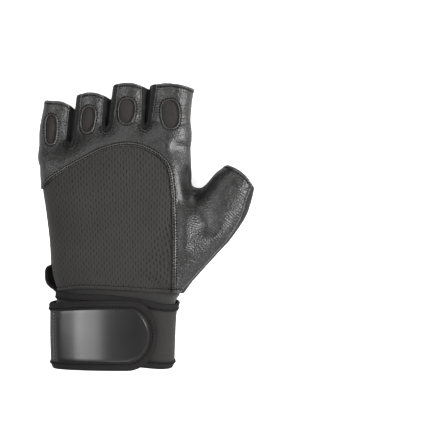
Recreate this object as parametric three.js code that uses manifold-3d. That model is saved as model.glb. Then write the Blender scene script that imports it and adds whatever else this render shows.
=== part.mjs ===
// A fingerless weightlifting glove for the left hand, lying on its palm.
// The back is leather round a stretch mesh panel, with an oval stretch vent over each knuckle.
// Fabric fourchettes join back and palm between the fingers, and a fabric gusset does it under the thumb.
// The palm carries five stuffed leather pads, and a long bound strap winds round the neoprene cuff.
// Millimetres. +X is the thumb side, +Y the fingertips, +Z the back of the hand. The pads rest on Z = 0.
import * as THREE from "three";
import { mergeVertices } from "three/addons/utils/BufferGeometryUtils.js";
import Module from "manifold-3d";

const wasm = await Module();
wasm.setup();

// Walls and clearances.
const leather = 2.0; // leather and its lining
const recess = 0.7; // how far fabric lies below the leather beside it
const seamGap = 0.3; // between sewn neighbours
const padRise = 2.8; // a stuffed pad above the palm leather
const padGap = 1.2; // between neighbouring pads
const neoprene = 2.0; // cuff wall
const strapThickness = 2.4;
const bindingThickness = 0.7; // tape folded round the strap's edges
const bindingWidth = 5.6;
const panelThickness = 0.6; // smooth panel on the strap's end
const layerGap = 0.9; // between the strap's turns

// Palm: from the wrist hem to the crotch between index and middle finger.
const palmLength = 108;
const palmHeight = 36; // lining to lining of a worn hand, over leather
const hemY = -40; // the hem, measured from the middle of the centre pad
const clearance = 2.2; // underside of the palm leather above the surface
const seamZ = 15; // the side seam between back and palm
const knuckleFall = 9.5; // how much lower the back is at the crotches

// Finger stalls from little finger to index: sizes of each one, and where its mouth and vent lie.
const fingerGap = 1.2;
const fingers = [
  { name: "little", width: 20.4, depth: 20.0, mouth: 126.4, lean: 0.1, droop: 2.0 },
  { name: "ring", width: 22.6, depth: 23.0, mouth: 132.1, lean: 0.12, droop: 1.0 },
  { name: "middle", width: 25.2, depth: 24.5, mouth: 138.5, lean: 0.1, droop: 1.0 },
  { name: "index", width: 29.0, depth: 25.0, mouth: 137.8, lean: 0.08, droop: 2.0 },
];
const vents = [
  { finger: "little", width: 6.4, length: 18.4, below: 19.2, aside: -3.6, turn: -2 },
  { finger: "ring", width: 7.8, length: 16.2, below: 18.2, aside: -1.7, turn: -8 },
  { finger: "middle", width: 9.6, length: 15.4, below: 19.0, aside: -0.4, turn: -5 },
  { finger: "index", width: 10.8, length: 17.6, below: 20.8, aside: 1.0, turn: 5 },
];
const stallUnderside = 1.6;
const stallRoot = 9; // how far a stall runs back into the palm
const stallPivot = 5; // behind the palm's front, where a leaning stall stands in its own place
const mouthBulge = 2.6; // the rounded end of a stall
const crotchDepth = 3; // from the palm's front back to the end of a fourchette

// Fourchettes: widths at the mouth and at the crotch, as shares of the mean width of the two fingers.
const fourchetteWidths = [
  { ulnar: "little", radial: "ring", mouth: 0.26, crotch: 0.27 },
  { ulnar: "ring", radial: "middle", mouth: 0.32, crotch: 0.26 },
  { ulnar: "middle", radial: "index", mouth: 0.32, crotch: 0.19 },
];

// Thumb: from its base in the heel of the hand to its mouth.
const thumbLength = 92;
const thumbAngle = 50; // from +X
const thumbWidth = 23.3;
const thumbDepth = 24;
const thumbMouthX = 85.1;
const thumbMouthY = 38.3;
const thumbUnderside = 2.4;
const thumbBulge = 2.4;

// Cuff and strap.
const cuffEnd = -91;
const cuffWidth = 75;
const cuffHeight = 31.4;
const cuffShift = 0.4; // of the wrist's middle towards the thumb
const strapWidth = 45;
const strapMiddleY = -70.8;
const strapEndX = 24.6; // where the rounded end lies on the back
const endRound = 0.88; // length of the rounding as a share of the half width
const panelInset = 2; // from the binding at the strap's end to the smooth panel
const panelStartX = -39;

// Pull loop at the side seam by the wrist.
const loopLength = 19;
const loopReach = 7.4;
const loopTape = 1.6;
const loopHeight = 9;

const knuckleWidth = fingers.reduce((sum, f) => sum + f.width, 0) + (fingers.length - 1) * fingerGap;

// Palm sections from the hem forwards. along: share of palmLength. ulnar, radial: the sides, as shares of
// knuckleWidth. under: how far the underside lifts, as a share of clearance. crown: share of palmHeight.
const palmSections = [
  { along: -0.08, ulnar: -0.38, radial: 0.39, under: 2.2, crown: 0.98 },
  { along: 0.0, ulnar: -0.4, radial: 0.45, under: 1.7, crown: 1.0 },
  { along: 0.12, ulnar: -0.433, radial: 0.47, under: 1.0, crown: 1.02 },
  { along: 0.3, ulnar: -0.447, radial: 0.475, under: 1.0, crown: 1.03 },
  { along: 0.5, ulnar: -0.473, radial: 0.485, under: 1.0, crown: 1.02 },
  { along: 0.62, ulnar: -0.492, radial: 0.5, under: 1.0, crown: 0.99 },
  { along: 0.72, ulnar: -0.502, radial: 0.505, under: 1.0, crown: 0.95 },
  { along: 0.84, ulnar: -0.513, radial: 0.496, under: 1.0, crown: 0.86 },
  { along: 1.0, ulnar: -0.513, radial: 0.494, under: 1.0, crown: 1 - knuckleFall / palmHeight },
  { along: 1.12, ulnar: -0.513, radial: 0.494, under: 1.0, crown: 1 - knuckleFall / palmHeight },
];

// The front of the palm between the stalls: across as a share of knuckleWidth, along as a share of palmLength.
const palmFront = [
  { across: -0.7, along: 0.85 },
  { across: -0.312, along: 0.904 },
  { across: -0.068, along: 1.003 },
  { across: 0.206, along: 1.019 },
  { across: 0.7, along: 1.02 },
];

// Thumb sections from the mouth back to the base. inner is the side by the index finger, outer the one by
// the wrist, gusset the plan width of the fabric there: shares of thumbWidth. depth: share of thumbDepth.
const thumbSections = [
  { back: -0.1, inner: 0.46, outer: 0.44, gusset: 0.1, depth: 0.98 },
  { back: 0.0, inner: 0.48, outer: 0.53, gusset: 0.1, depth: 1.0 },
  { back: 0.11, inner: 0.58, outer: 0.74, gusset: 0.18, depth: 1.06 },
  { back: 0.22, inner: 0.59, outer: 0.91, gusset: 0.16, depth: 1.14 },
  { back: 0.33, inner: 0.68, outer: 0.97, gusset: 0.1, depth: 1.22 },
  { back: 0.45, inner: 0.85, outer: 0.99, gusset: 0.08, depth: 1.32 },
  { back: 0.75, inner: 0.9, outer: 0.95, gusset: 0.08, depth: 1.46 },
  { back: 1.0, inner: 0.7, outer: 0.92, gusset: 0.08, depth: 1.46 },
];

// Cuff sections from the palm hem to the open end: sides as shares of cuffWidth, height as a share of cuffHeight.
const cuffSections = [
  { along: 0.0, ulnar: -0.5, radial: 0.595, height: 1.06 },
  { along: 0.14, ulnar: -0.5, radial: 0.53, height: 1.03 },
  { along: 0.26, ulnar: -0.5, radial: 0.505, height: 1.0 },
  { along: 0.6, ulnar: -0.5, radial: 0.49, height: 1.0 },
  { along: 1.0, ulnar: -0.492, radial: 0.482, height: 1.0 },
];

// Course of the strap's middle line, from its start at the little finger's side round to its rounded end.
// rise: towards the hand, as a share of strapWidth.
const strapCourse = [
  { share: 0.0, rise: 0.1 },
  { share: 0.3, rise: -0.03 },
  { share: 0.5, rise: 0.14 },
  { share: 0.7, rise: 0.04 },
  { share: 1.0, rise: 0.0 },
];

// The mesh panel's edge on the back, from the little finger's side over the knuckles and down to the hem.
// across: share of knuckleWidth, along: share of palmLength.
const meshEdge = [
  { across: -0.62, along: 0.53 },
  { across: -0.5, along: 0.608 },
  { across: -0.42, along: 0.68 },
  { across: -0.25, along: 0.776 },
  { across: -0.05, along: 0.866 },
  { across: 0.11, along: 0.886 },
  { across: 0.24, along: 0.843 },
  { across: 0.33, along: 0.769 },
  { across: 0.36, along: 0.648 },
  { across: 0.374, along: 0.37 },
  { across: 0.372, along: 0.0 },
  { across: 0.37, along: -0.1 },
];

// Outlines of the stuffed pads on the palm, each a closed ring of corners in the same shares.
const pads = [
  {
    name: "pad_knuckle",
    corners: [
      { across: -0.4, along: 0.84 }, { across: 0.02, along: 0.85 }, { across: 0.4, along: 0.856 },
      { across: 0.455, along: 0.84 }, { across: 0.455, along: 0.775 }, { across: 0.42, along: 0.754 },
      { across: 0.02, along: 0.751 }, { across: -0.36, along: 0.751 }, { across: -0.42, along: 0.78 },
    ],
  },
  {
    name: "pad_grip",
    corners: [
      { across: -0.36, along: 0.724 }, { across: 0.0, along: 0.724 }, { across: 0.3, along: 0.72 },
      { across: 0.32, along: 0.7 }, { across: 0.28, along: 0.672 }, { across: 0.0, along: 0.667 },
      { across: -0.36, along: 0.667 }, { across: -0.39, along: 0.695 },
    ],
  },
  {
    name: "pad_centre",
    corners: [
      { across: -0.43, along: 0.62 }, { across: -0.1, along: 0.633 }, { across: 0.24, along: 0.63 },
      { across: 0.215, along: 0.56 }, { across: 0.18, along: 0.44 }, { across: 0.168, along: 0.245 },
      { across: -0.1, along: 0.262 }, { across: -0.37, along: 0.25 }, { across: -0.42, along: 0.34 },
      { across: -0.44, along: 0.5 },
    ],
  },
  {
    name: "pad_heel",
    corners: [
      { across: -0.4, along: 0.178 }, { across: -0.15, along: 0.188 }, { across: 0.08, along: 0.15 },
      { across: 0.22, along: 0.08 }, { across: 0.235, along: 0.02 }, { across: 0.0, along: -0.005 },
      { across: -0.33, along: 0.0 }, { across: -0.41, along: 0.06 },
    ],
  },
  {
    name: "pad_thumb",
    corners: [
      { across: 0.44, along: 0.55 }, { across: 0.54, along: 0.585 }, { across: 0.66, along: 0.56 },
      { across: 0.76, along: 0.49 }, { across: 0.86, along: 0.36 }, { across: 0.6, along: 0.1 },
      { across: 0.44, along: 0.1 }, { across: 0.36, along: 0.22 }, { across: 0.33, along: 0.36 },
      { across: 0.36, along: 0.47 },
    ],
  },
];

// Knit tips under the ring and middle stalls: how long each is.
const knitTips = [
  { finger: "ring", length: 16.5 },
  { finger: "middle", length: 15.5 },
];

const tall = 80; // cutters reach well past the glove
const wide = 400;
const backExponent = 2.35; // fullness of a section above and below its widest line
const restExponent = 3.1;
const sideSteps = { palm: 26, finger: 12, thumb: 16, cuff: 30 };

const leatherLook = new THREE.MeshStandardMaterial({ color: 0x2b2928, roughness: 0.42, metalness: 0 });
const padLook = new THREE.MeshStandardMaterial({ color: 0x2d2b2a, roughness: 0.45, metalness: 0 });
const meshLook = new THREE.MeshStandardMaterial({ color: 0x2a2525, roughness: 0.9, metalness: 0 });
const fabricLook = new THREE.MeshStandardMaterial({ color: 0x1d1b1b, roughness: 0.9, metalness: 0 });
const neopreneLook = new THREE.MeshStandardMaterial({ color: 0x272425, roughness: 0.85, metalness: 0 });
const strapLook = new THREE.MeshStandardMaterial({ color: 0x2c2a29, roughness: 0.88, metalness: 0 });
const bindingLook = new THREE.MeshStandardMaterial({ color: 0x242122, roughness: 0.8, metalness: 0 });
const panelLook = new THREE.MeshStandardMaterial({ color: 0x1f1e1e, roughness: 0.2, metalness: 0 });

// Value of one column at a share along a table, on a smooth curve through its rows.
function along(rows, key, column, share) {
  const last = rows.length - 1;
  let i = 0;
  while (i < last - 1 && share > rows[i + 1][key]) i++;
  const [a, b] = [rows[i], rows[i + 1]];
  const before = rows[Math.max(i - 1, 0)];
  const after = rows[Math.min(i + 2, last)];
  const span = b[key] - a[key];
  const t = THREE.MathUtils.clamp((share - a[key]) / span, 0, 1);
  const slopeA = ((b[column] - before[column]) / (b[key] - before[key])) * span;
  const slopeB = ((after[column] - a[column]) / (after[key] - a[key])) * span;
  const [t2, t3] = [t * t, t * t * t];
  return (2 * t3 - 3 * t2 + 1) * a[column] + (t3 - 2 * t2 + t) * slopeA
    + (3 * t2 - 2 * t3) * b[column] + (t3 - t2) * slopeB;
}

// A point of a full oval at an angle: wide by half, rising up and falling down from its widest line.
function ovalPoint(angle, half, up, down) {
  const [c, s] = [Math.cos(angle), Math.sin(angle)];
  const power = 2 / (s >= 0 ? backExponent : restExponent);
  const x = half * Math.sign(c) * Math.abs(c) ** power;
  const z = (s >= 0 ? up : down) * Math.sign(s) * Math.abs(s) ** power;
  return [x, z];
}

// A ring of points: an oval standing on the line through centre along `across`, with +Z up.
function ovalRing(centre, across, half, up, down, steps) {
  return Array.from({ length: steps }, (_, i) => {
    const [x, z] = ovalPoint((2 * Math.PI * i) / steps, half, up, down);
    return new THREE.Vector3(centre.x + across.x * x, centre.y + across.y * x, centre.z + z);
  });
}

function meshOf(points, triangles) {
  const geometry = new THREE.BufferGeometry().setFromPoints(points);
  geometry.setIndex(triangles);
  return geometry;
}

// A closed solid through rings of equal length, capped at both ends.
function loft(rings) {
  const steps = rings[0].length;
  const points = rings.flat();
  const triangles = [];
  for (let r = 0; r + 1 < rings.length; r++)
    for (let i = 0; i < steps; i++) {
      const [a, b] = [r * steps + i, r * steps + ((i + 1) % steps)];
      triangles.push(a, b, a + steps, b, b + steps, a + steps);
    }
  for (const [ring, turned] of [[rings[0], true], [rings.at(-1), false]]) {
    const middle = ring.reduce((sum, p) => sum.add(p), new THREE.Vector3()).divideScalar(steps);
    const centre = points.push(middle) - 1;
    const first = turned ? 0 : (rings.length - 1) * steps;
    for (let i = 0; i < steps; i++) {
      const [a, b] = [first + i, first + ((i + 1) % steps)];
      triangles.push(...(turned ? [b, a, centre] : [a, b, centre]));
    }
  }
  return solid(meshOf(points, triangles));
}

// A closed band between an outer and an inner face, each a grid of rows of points.
function band(outer, inner) {
  const [rows, columns] = [outer.length, outer[0].length];
  const points = [...outer.flat(), ...inner.flat()];
  const under = rows * columns;
  const triangles = [];
  const quad = (a, b, c, d) => triangles.push(a, b, c, a, c, d);
  for (let r = 0; r + 1 < rows; r++)
    for (let c = 0; c + 1 < columns; c++) {
      const a = r * columns + c;
      quad(a, a + 1, a + columns + 1, a + columns);
      quad(under + a, under + a + columns, under + a + columns + 1, under + a + 1);
    }
  for (let c = 0; c + 1 < columns; c++) {
    const end = (rows - 1) * columns + c;
    quad(c, under + c, under + c + 1, c + 1);
    quad(end, end + 1, under + end + 1, under + end);
  }
  for (let r = 0; r + 1 < rows; r++) {
    const a = r * columns;
    const b = a + columns - 1;
    quad(a, a + columns, under + a + columns, under + a);
    quad(b, under + b, under + b + columns, b + columns);
  }
  return solid(meshOf(points, triangles));
}

function solid(geometry) {
  const bare = geometry.index ? geometry.toNonIndexed() : geometry.clone();
  for (const name of Object.keys(bare.attributes)) if (name !== "position") bare.deleteAttribute(name);
  const merged = mergeVertices(bare, 1e-4);
  return new wasm.Manifold(
    new wasm.Mesh({
      numProp: 3,
      vertProperties: merged.attributes.position.array,
      triVerts: new Uint32Array(merged.index.array),
    }),
  );
}

function join(solids) {
  return solids.reduce((whole, next) => whole.add(next));
}

// A straight-sided cutter over an outline in plan.
function prism(outline, low = -tall, high = tall) {
  const shape = new THREE.Shape(outline.map(([x, y]) => new THREE.Vector2(x, y)));
  const geometry = new THREE.ExtrudeGeometry(shape, { depth: high - low, bevelEnabled: false });
  return solid(geometry.translate(0, 0, low));
}

function block(x0, x1, y0, y1, z0, z1) {
  const box = new THREE.BoxGeometry(x1 - x0, y1 - y0, z1 - z0);
  return solid(box.translate((x0 + x1) / 2, (y0 + y1) / 2, (z0 + z1) / 2));
}

// A closed outline moved outwards by a distance (inwards if it is negative).
function grown(outline, distance) {
  const area = outline.reduce((sum, [x, y], i) => {
    const [u, v] = outline[(i + 1) % outline.length];
    return sum + x * v - u * y;
  }, 0);
  const side = Math.sign(area);
  return outline.map(([x, y], i) => {
    const [px, py] = outline[(i + outline.length - 1) % outline.length];
    const [nx, ny] = outline[(i + 1) % outline.length];
    const before = new THREE.Vector2(x - px, y - py).normalize();
    const after = new THREE.Vector2(nx - x, ny - y).normalize();
    const normal = new THREE.Vector2(before.y + after.y, -before.x - after.x);
    const reach = (2 * distance * side) / Math.max(normal.lengthSq(), 0.4);
    return [x + normal.x * reach, y + normal.y * reach];
  });
}

// Plan position from shares of the palm.
const palmPoint = (row) => [row.across * knuckleWidth, hemY + row.along * palmLength];

function smoothLine(points, steps, closed = false) {
  const corners = points.map(([x, y]) => new THREE.Vector3(x, y, 0));
  const curve = new THREE.CatmullRomCurve3(corners, closed, "centripetal");
  const found = curve.getPoints(steps).map((p) => [p.x, p.y]);
  return closed ? found.slice(0, -1) : found;
}

// Where the stalls leave the palm: side by side, the little finger's at the palm's ulnar edge.
let nextEdge = -0.513 * knuckleWidth;
const stalls = fingers.map((f) => {
  const mouthY = hemY + f.mouth;
  const rootY = frontAt(nextEdge + f.width / 2) - stallRoot;
  const length = mouthY - rootY;
  const rootX = nextEdge + f.width / 2 - f.lean * (stallRoot - stallPivot);
  nextEdge += f.width + fingerGap;
  const direction = new THREE.Vector2(f.lean * length, length).normalize();
  return { ...f, rootX, rootY, mouthX: rootX + f.lean * length, mouthY, direction, length };
});

function frontAt(x) {
  return hemY + along(palmFront, "across", "along", x / knuckleWidth) * palmLength;
}

// The palm of the hand, shrunk by an inset (or swollen, if it is negative), cut off at its front.
function palmForm(inset) {
  const rings = [];
  const stations = 12;
  const [first, last] = [palmSections[0].along, palmSections.at(-1).along];
  for (let i = 0; i <= stations; i++) {
    const share = first + ((last - first) * i) / stations;
    const at = (column) => along(palmSections, "along", column, share);
    const [left, right] = [at("ulnar") * knuckleWidth, at("radial") * knuckleWidth];
    const low = at("under") * clearance;
    const high = clearance + at("crown") * palmHeight;
    const middle = low + (high - low) * 0.46;
    const centre = new THREE.Vector3((left + right) / 2, hemY + share * palmLength, middle);
    const half = (right - left) / 2 - inset;
    rings.push(
      ovalRing(centre, new THREE.Vector3(1, 0, 0), half, high - middle - inset, middle - low - inset, sideSteps.palm),
    );
  }
  const front = smoothLine(palmFront.map(palmPoint), 24).map(([x, y]) => [x, y - inset]);
  const ahead = prism([...front, [wide, wide], [-wide, wide]]);
  return loft(rings.reverse()).subtract(ahead);
}

// A finger stall, open past its mouth.
function stallForm(stall, inset) {
  const across = new THREE.Vector3(stall.direction.y, -stall.direction.x, 0);
  const past = 5;
  const rings = [0, 0.5, 1].map((share) => {
    const run = inset + share * (stall.length + past);
    const half = stall.depth / 2;
    const lift = stallUnderside + stall.droop * (1 - share) * 0.5;
    const centre = new THREE.Vector3(
      stall.rootX + stall.direction.x * run,
      stall.rootY + stall.direction.y * run,
      lift + half,
    );
    return ovalRing(centre, across, stall.width / 2 - inset, half - inset, half - inset, sideSteps.finger);
  });
  return loft(rings.reverse());
}

const thumbRun = new THREE.Vector3(
  Math.cos(THREE.MathUtils.degToRad(thumbAngle)),
  Math.sin(THREE.MathUtils.degToRad(thumbAngle)),
  0,
);
const thumbAcross = new THREE.Vector3(thumbRun.y, -thumbRun.x, 0); // towards the wrist

// Plan point of the thumb at a share back from its mouth, a distance across towards the wrist.
function thumbPoint(back, aside) {
  const run = back * thumbLength;
  return [
    thumbMouthX - thumbRun.x * run + thumbAcross.x * aside,
    thumbMouthY - thumbRun.y * run + thumbAcross.y * aside,
  ];
}

const thumbSide = (back, column) => along(thumbSections, "back", column, back) * thumbWidth;

function thumbForm(inset) {
  const stations = 8;
  const [first, last] = [thumbSections[0].back, thumbSections.at(-1).back];
  const rings = [];
  for (let i = 0; i <= stations; i++) {
    const back = first + ((last - first) * i) / stations;
    const half = (along(thumbSections, "back", "depth", back) * thumbDepth) / 2;
    const [inner, outer] = [thumbSide(back, "inner"), thumbSide(back, "outer")];
    const [x, y] = thumbPoint(back - inset / thumbLength, (outer - inner) / 2);
    const centre = new THREE.Vector3(x, y, thumbUnderside + half);
    const halfWidth = (inner + outer) / 2;
    rings.push(ovalRing(centre, thumbAcross, halfWidth - inset, half - inset, half - inset, sideSteps.thumb));
  }
  return loft(rings);
}

// The hand, thumb and stalls as one solid, shrunk by an inset.
const forms = new Map();
function handForm(inset) {
  if (!forms.has(inset))
    forms.set(inset, join([palmForm(inset), thumbForm(inset), ...stalls.map((s) => stallForm(s, inset))]));
  return forms.get(inset);
}

// What is cut away past a mouth: everything ahead of an arc across the stall.
function mouthCutter(x, y, run, across, half, bulge) {
  const steps = 8;
  const far = 30;
  const at = (side, ahead) => [x + across.x * side + run.x * ahead, y + across.y * side + run.y * ahead];
  const arc = Array.from({ length: steps + 1 }, (_, i) => {
    const share = (2 * i) / steps - 1;
    return at(share * half, -bulge * share * share);
  });
  return prism([...arc, at(half, far), at(-half, far)]);
}

const mouthCutters = [
  ...stalls.map((s) => {
    const across = new THREE.Vector2(s.direction.y, -s.direction.x);
    return mouthCutter(s.mouthX, s.mouthY, s.direction, across, (s.width + fingerGap) / 2, mouthBulge);
  }),
  mouthCutter(thumbMouthX, thumbMouthY, thumbRun, thumbAcross, thumbWidth, 4 * thumbBulge),
];
const belowHem = block(-wide, wide, -wide, hemY, -tall, tall);
const trim = join([...mouthCutters, belowHem]);

// The wall of the glove between two depths below its outer face.
const wall = (outer, inner) => handForm(outer).subtract(handForm(inner)).subtract(trim);
const leatherWall = wall(0, leather);
const fabricWall = wall(recess, leather);

const above = block(-wide, wide, -wide, wide, seamZ + seamGap / 2, tall);
const below = block(-wide, wide, -wide, wide, -tall, seamZ - seamGap / 2);
const overSurface = block(-wide, wide, -wide, wide, 0, tall);

// The mesh panel reaches past the glove on the little finger's side and at the hem.
const meshOutline = [...smoothLine(meshEdge.map(palmPoint), 36), [-wide, hemY - 0.1 * palmLength]];

// A fourchette's outline in plan: a strip along the gap between two stalls, round at the crotch.
const fourchettes = fourchetteWidths.map((row) => {
  const [ulnar, radial] = [row.ulnar, row.radial].map((name) => stalls.find((s) => s.name === name));
  const size = (ulnar.width + radial.width) / 2;
  const edge = (stall, side, y) => {
    const run = (y - stall.rootY) / stall.direction.y;
    return stall.rootX + stall.direction.x * run + (side * stall.width) / 2;
  };
  const middle = (y) => (edge(ulnar, 1, y) + edge(radial, -1, y)) / 2;
  const mouthY = (ulnar.mouthY + radial.mouthY) / 2;
  const crotchY = frontAt(middle(mouthY - 30));
  const half = (y) => THREE.MathUtils.mapLinear(y, crotchY, mouthY, row.crotch, row.mouth) * (size / 2);
  const radius = half(crotchY);
  const round = Array.from({ length: 9 }, (_, i) => {
    const angle = Math.PI + (Math.PI * i) / 8;
    const y = crotchY - crotchDepth + radius * (1 + Math.sin(angle));
    return [middle(y) + radius * Math.cos(angle), y];
  });
  const topY = mouthY + 16;
  const outline = [[middle(topY) - half(topY), topY], ...round, [middle(topY) + half(topY), topY]];
  return { name: `fourchette_${ulnar.name}_${radial.name}`, outline };
});

// The gusset under the thumb follows the thumb's edge from its mouth to the hem.
const gussetOutline = (() => {
  const inner = [];
  for (let back = -0.2; back < 1.25; back += 0.07)
    inner.push(thumbPoint(back, thumbSide(back, "outer") - thumbSide(back, "gusset")));
  const [endX, endY] = thumbPoint(1.25, wide);
  const [startX, startY] = thumbPoint(-0.2, wide);
  return [...inner, [endX, endY], [startX, startY]];
})();

function ventOutline(vent, grow = 0) {
  const stall = stalls.find((s) => s.name === vent.finger);
  const y = stall.mouthY - vent.below;
  const x = stall.mouthX - stall.direction.x * (vent.below / stall.direction.y) + vent.aside;
  const turn = THREE.MathUtils.degToRad(vent.turn);
  const curve = new THREE.EllipseCurve(x, y, vent.width / 2 + grow, vent.length / 2 + grow, 0, 2 * Math.PI, false, turn);
  return curve.getPoints(14).slice(0, -1).map((p) => [p.x, p.y]);
}

// Knit tip outline: the under half of a stall from a line across it to past its mouth.
function tipOutline(tip) {
  const stall = stalls.find((s) => s.name === tip.finger);
  const across = new THREE.Vector2(stall.direction.y, -stall.direction.x);
  const half = (stall.width + fingerGap) / 2;
  const at = (side, ahead) => [
    stall.mouthX + across.x * side + stall.direction.x * ahead,
    stall.mouthY + across.y * side + stall.direction.y * ahead,
  ];
  return [at(-half, -tip.length), at(half, -tip.length), at(half, 8), at(-half, 8)];
}

const group = new THREE.Group();
function addPiece(name, shape, material) {
  const { numProp, vertProperties, triVerts } = shape.getMesh();
  const geometry = new THREE.BufferGeometry();
  const points = new Float32Array((vertProperties.length / numProp) * 3);
  for (let i = 0; i < points.length / 3; i++)
    points.set(vertProperties.subarray(i * numProp, i * numProp + 3), i * 3);
  geometry.setAttribute("position", new THREE.BufferAttribute(points, 3));
  geometry.setIndex(new THREE.BufferAttribute(new Uint32Array(triVerts), 1));
  geometry.computeVertexNormals();
  const mesh = new THREE.Mesh(geometry, material);
  mesh.name = name;
  group.add(mesh);
}

// Trimming can leave crumbs of wall beside a cutter: the piece is the body that holds the most material.
function largest(shape) {
  return shape.decompose().reduce((best, next) => (next.volume() > best.volume() ? next : best));
}

const besideFourchettes = join(fourchettes.map((f) => prism(grown(f.outline, seamGap))));
const besideGusset = prism(grown(gussetOutline, seamGap));
const tips = knitTips.map((tip) => ({ ...tip, outline: tipOutline(tip) }));

// Back of the hand.
const backHalf = leatherWall.intersect(above);
const yoke = backHalf
  .subtract(prism(grown(meshOutline, seamGap)))
  .subtract(besideFourchettes)
  .subtract(besideGusset)
  .subtract(join(vents.map((v) => prism(ventOutline(v)))));
addPiece("back_yoke", largest(yoke), leatherLook);
addPiece("mesh_back", largest(fabricWall.intersect(above).intersect(prism(meshOutline))), meshLook);
for (const vent of vents) {
  const inset = fabricWall.intersect(above).intersect(prism(ventOutline(vent, -seamGap)));
  addPiece(`vent_${vent.finger}`, largest(inset), meshLook);
}

// Between the fingers and under the thumb.
for (const f of fourchettes) addPiece(f.name, largest(fabricWall.intersect(prism(f.outline))), fabricLook);
addPiece("thumb_gusset", largest(fabricWall.intersect(prism(gussetOutline))), fabricLook);

// Palm.
const palmHalf = leatherWall.intersect(below).intersect(overSurface);
const palm = palmHalf
  .subtract(besideFourchettes)
  .subtract(besideGusset)
  .subtract(join(tips.map((tip) => prism(grown(tip.outline, seamGap)))));
addPiece("palm_leather", largest(palm), leatherLook);
for (const tip of tips) {
  const knit = fabricWall.intersect(below).intersect(prism(tip.outline)).subtract(besideFourchettes);
  addPiece(`knit_tip_${tip.finger}`, largest(knit), fabricLook);
}
const padLayer = handForm(-padRise).subtract(handForm(-seamGap)).subtract(trim).intersect(below).intersect(overSurface);
let padRoom = padLayer.subtract(besideGusset);
for (const pad of pads) {
  const outline = smoothLine(pad.corners.map(palmPoint), 30, true);
  addPiece(pad.name, largest(padRoom.intersect(prism(outline))), padLook);
  padRoom = padRoom.subtract(prism(grown(outline, padGap)));
}

const tapeLow = strapThickness + seamGap;
const tapeHigh = tapeLow + bindingThickness;

// Cuff: a neoprene sleeve sewn to the hem. A point of it at an angle and a distance outside its outer face.
function cuffPoint(angle, y, outside) {
  const top = hemY - seamGap;
  const share = THREE.MathUtils.clamp((top - y) / (top - cuffEnd), 0, 1);
  const at = (column) => along(cuffSections, "along", column, share);
  const [left, right] = [at("ulnar") * cuffWidth, at("radial") * cuffWidth];
  const half = (right - left) / 2 + outside;
  const height = (at("height") * cuffHeight) / 2 + outside;
  const [x, z] = ovalPoint(angle, half, height, height);
  const middle = tapeHigh + seamGap + cuffHeight / 2;
  return new THREE.Vector3(cuffShift + (left + right) / 2 + x, y, middle + z);
}

const cuffStops = cuffSections.map((row) => THREE.MathUtils.lerp(hemY - seamGap, cuffEnd, row.along));
const openStops = [hemY + 4, ...cuffStops, cuffEnd - 4];

function cuffTube(outside, stops) {
  const turn = (k) => (2 * Math.PI * k) / sideSteps.cuff;
  return loft(
    stops.map((y) => Array.from({ length: sideSteps.cuff }, (_, k) => cuffPoint(turn(k), y, outside))),
  );
}

const sleeveOuter = cuffTube(0, cuffStops);
const sleeveHollow = cuffTube(-neoprene, openStops);
addPiece("cuff_sleeve", sleeveOuter.subtract(sleeveHollow).intersect(overSurface), neopreneLook);

// Strap: it starts at the little finger's side, crosses the back to the thumb side, passes under the palm,
// comes up over its own start and ends on the back. Angles run from the start down through one and a half turns.
const startAngle = THREE.MathUtils.degToRad(176);
const climbFrom = THREE.MathUtils.degToRad(-125);
const climbTo = THREE.MathUtils.degToRad(-172);
const layerPitch = tapeHigh + layerGap;

function layerOffset(angle) {
  const share = THREE.MathUtils.clamp((climbFrom - angle) / (climbFrom - climbTo), 0, 1);
  return seamGap + layerPitch * share * share * (3 - 2 * share);
}

// Stations along the strap with their run on the outer face, measured back from the rounded end.
const strapStations = (() => {
  const step = THREE.MathUtils.degToRad(7.5);
  const found = [];
  let angle = startAngle;
  let before = null;
  let run = 0;
  while (angle > startAngle - 4 * Math.PI) {
    const p = cuffPoint(angle, strapMiddleY, layerOffset(angle) + strapThickness);
    if (before) run += p.distanceTo(before);
    found.push({ angle, run });
    if (angle < -Math.PI * 1.25 && p.x > strapEndX) break;
    before = p;
    angle -= step;
  }
  return found;
})();
const strapLength = strapStations.at(-1).run;

// Stations again, closer together where the end rounds off.
const stationAt = (run) => {
  const i = Math.max(1, strapStations.findIndex((s) => s.run >= run - 1e-6));
  const [a, b] = [strapStations[i - 1], strapStations[i]];
  const t = (run - a.run) / (b.run - a.run);
  return { run, angle: a.angle + (b.angle - a.angle) * t };
};
function runsFrom(start, end, rounding) {
  const runs = [];
  const straight = Math.max(4, Math.round((end - rounding - start) / 7.5));
  for (let i = 0; i < straight; i++) runs.push(start + ((end - rounding - start) * i) / straight);
  for (let i = 0; i <= 6; i++) runs.push(end - rounding + rounding * Math.sin((Math.PI / 2) * (i / 6)) * 0.999);
  return runs;
}

function strapMiddle(run) {
  return strapMiddleY + along(strapCourse, "share", "rise", run / strapLength) * strapWidth;
}

// Half width at a run: full, then rounding off over the end.
function halfWidthAt(run, end, half) {
  const over = Math.max(0, run - (end - half * endRound)) / (half * endRound);
  return half * Math.sqrt(Math.max(1 - over * over, 0.0004));
}

function strapBand(start, end, half, rows, low, high) {
  const stations = runsFrom(start, end, half * endRound).map(stationAt);
  const face = (outside) =>
    stations.map(({ run, angle }) =>
      rows(run, halfWidthAt(run, end, half)).map((y) =>
        cuffPoint(angle, strapMiddle(run) + y, layerOffset(angle) + outside),
      ),
    );
  return band(face(high), face(low));
}

const across = (run, half) => [half, 0, -half];
const strapHalf = strapWidth / 2;
const strap = strapBand(0, strapLength, strapHalf, across, 0, strapThickness);
const sleeveRoom = cuffTube(seamGap, openStops);
addPiece("wrist_strap", largest(strap.subtract(sleeveRoom).intersect(overSurface)), strapLook);

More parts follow.
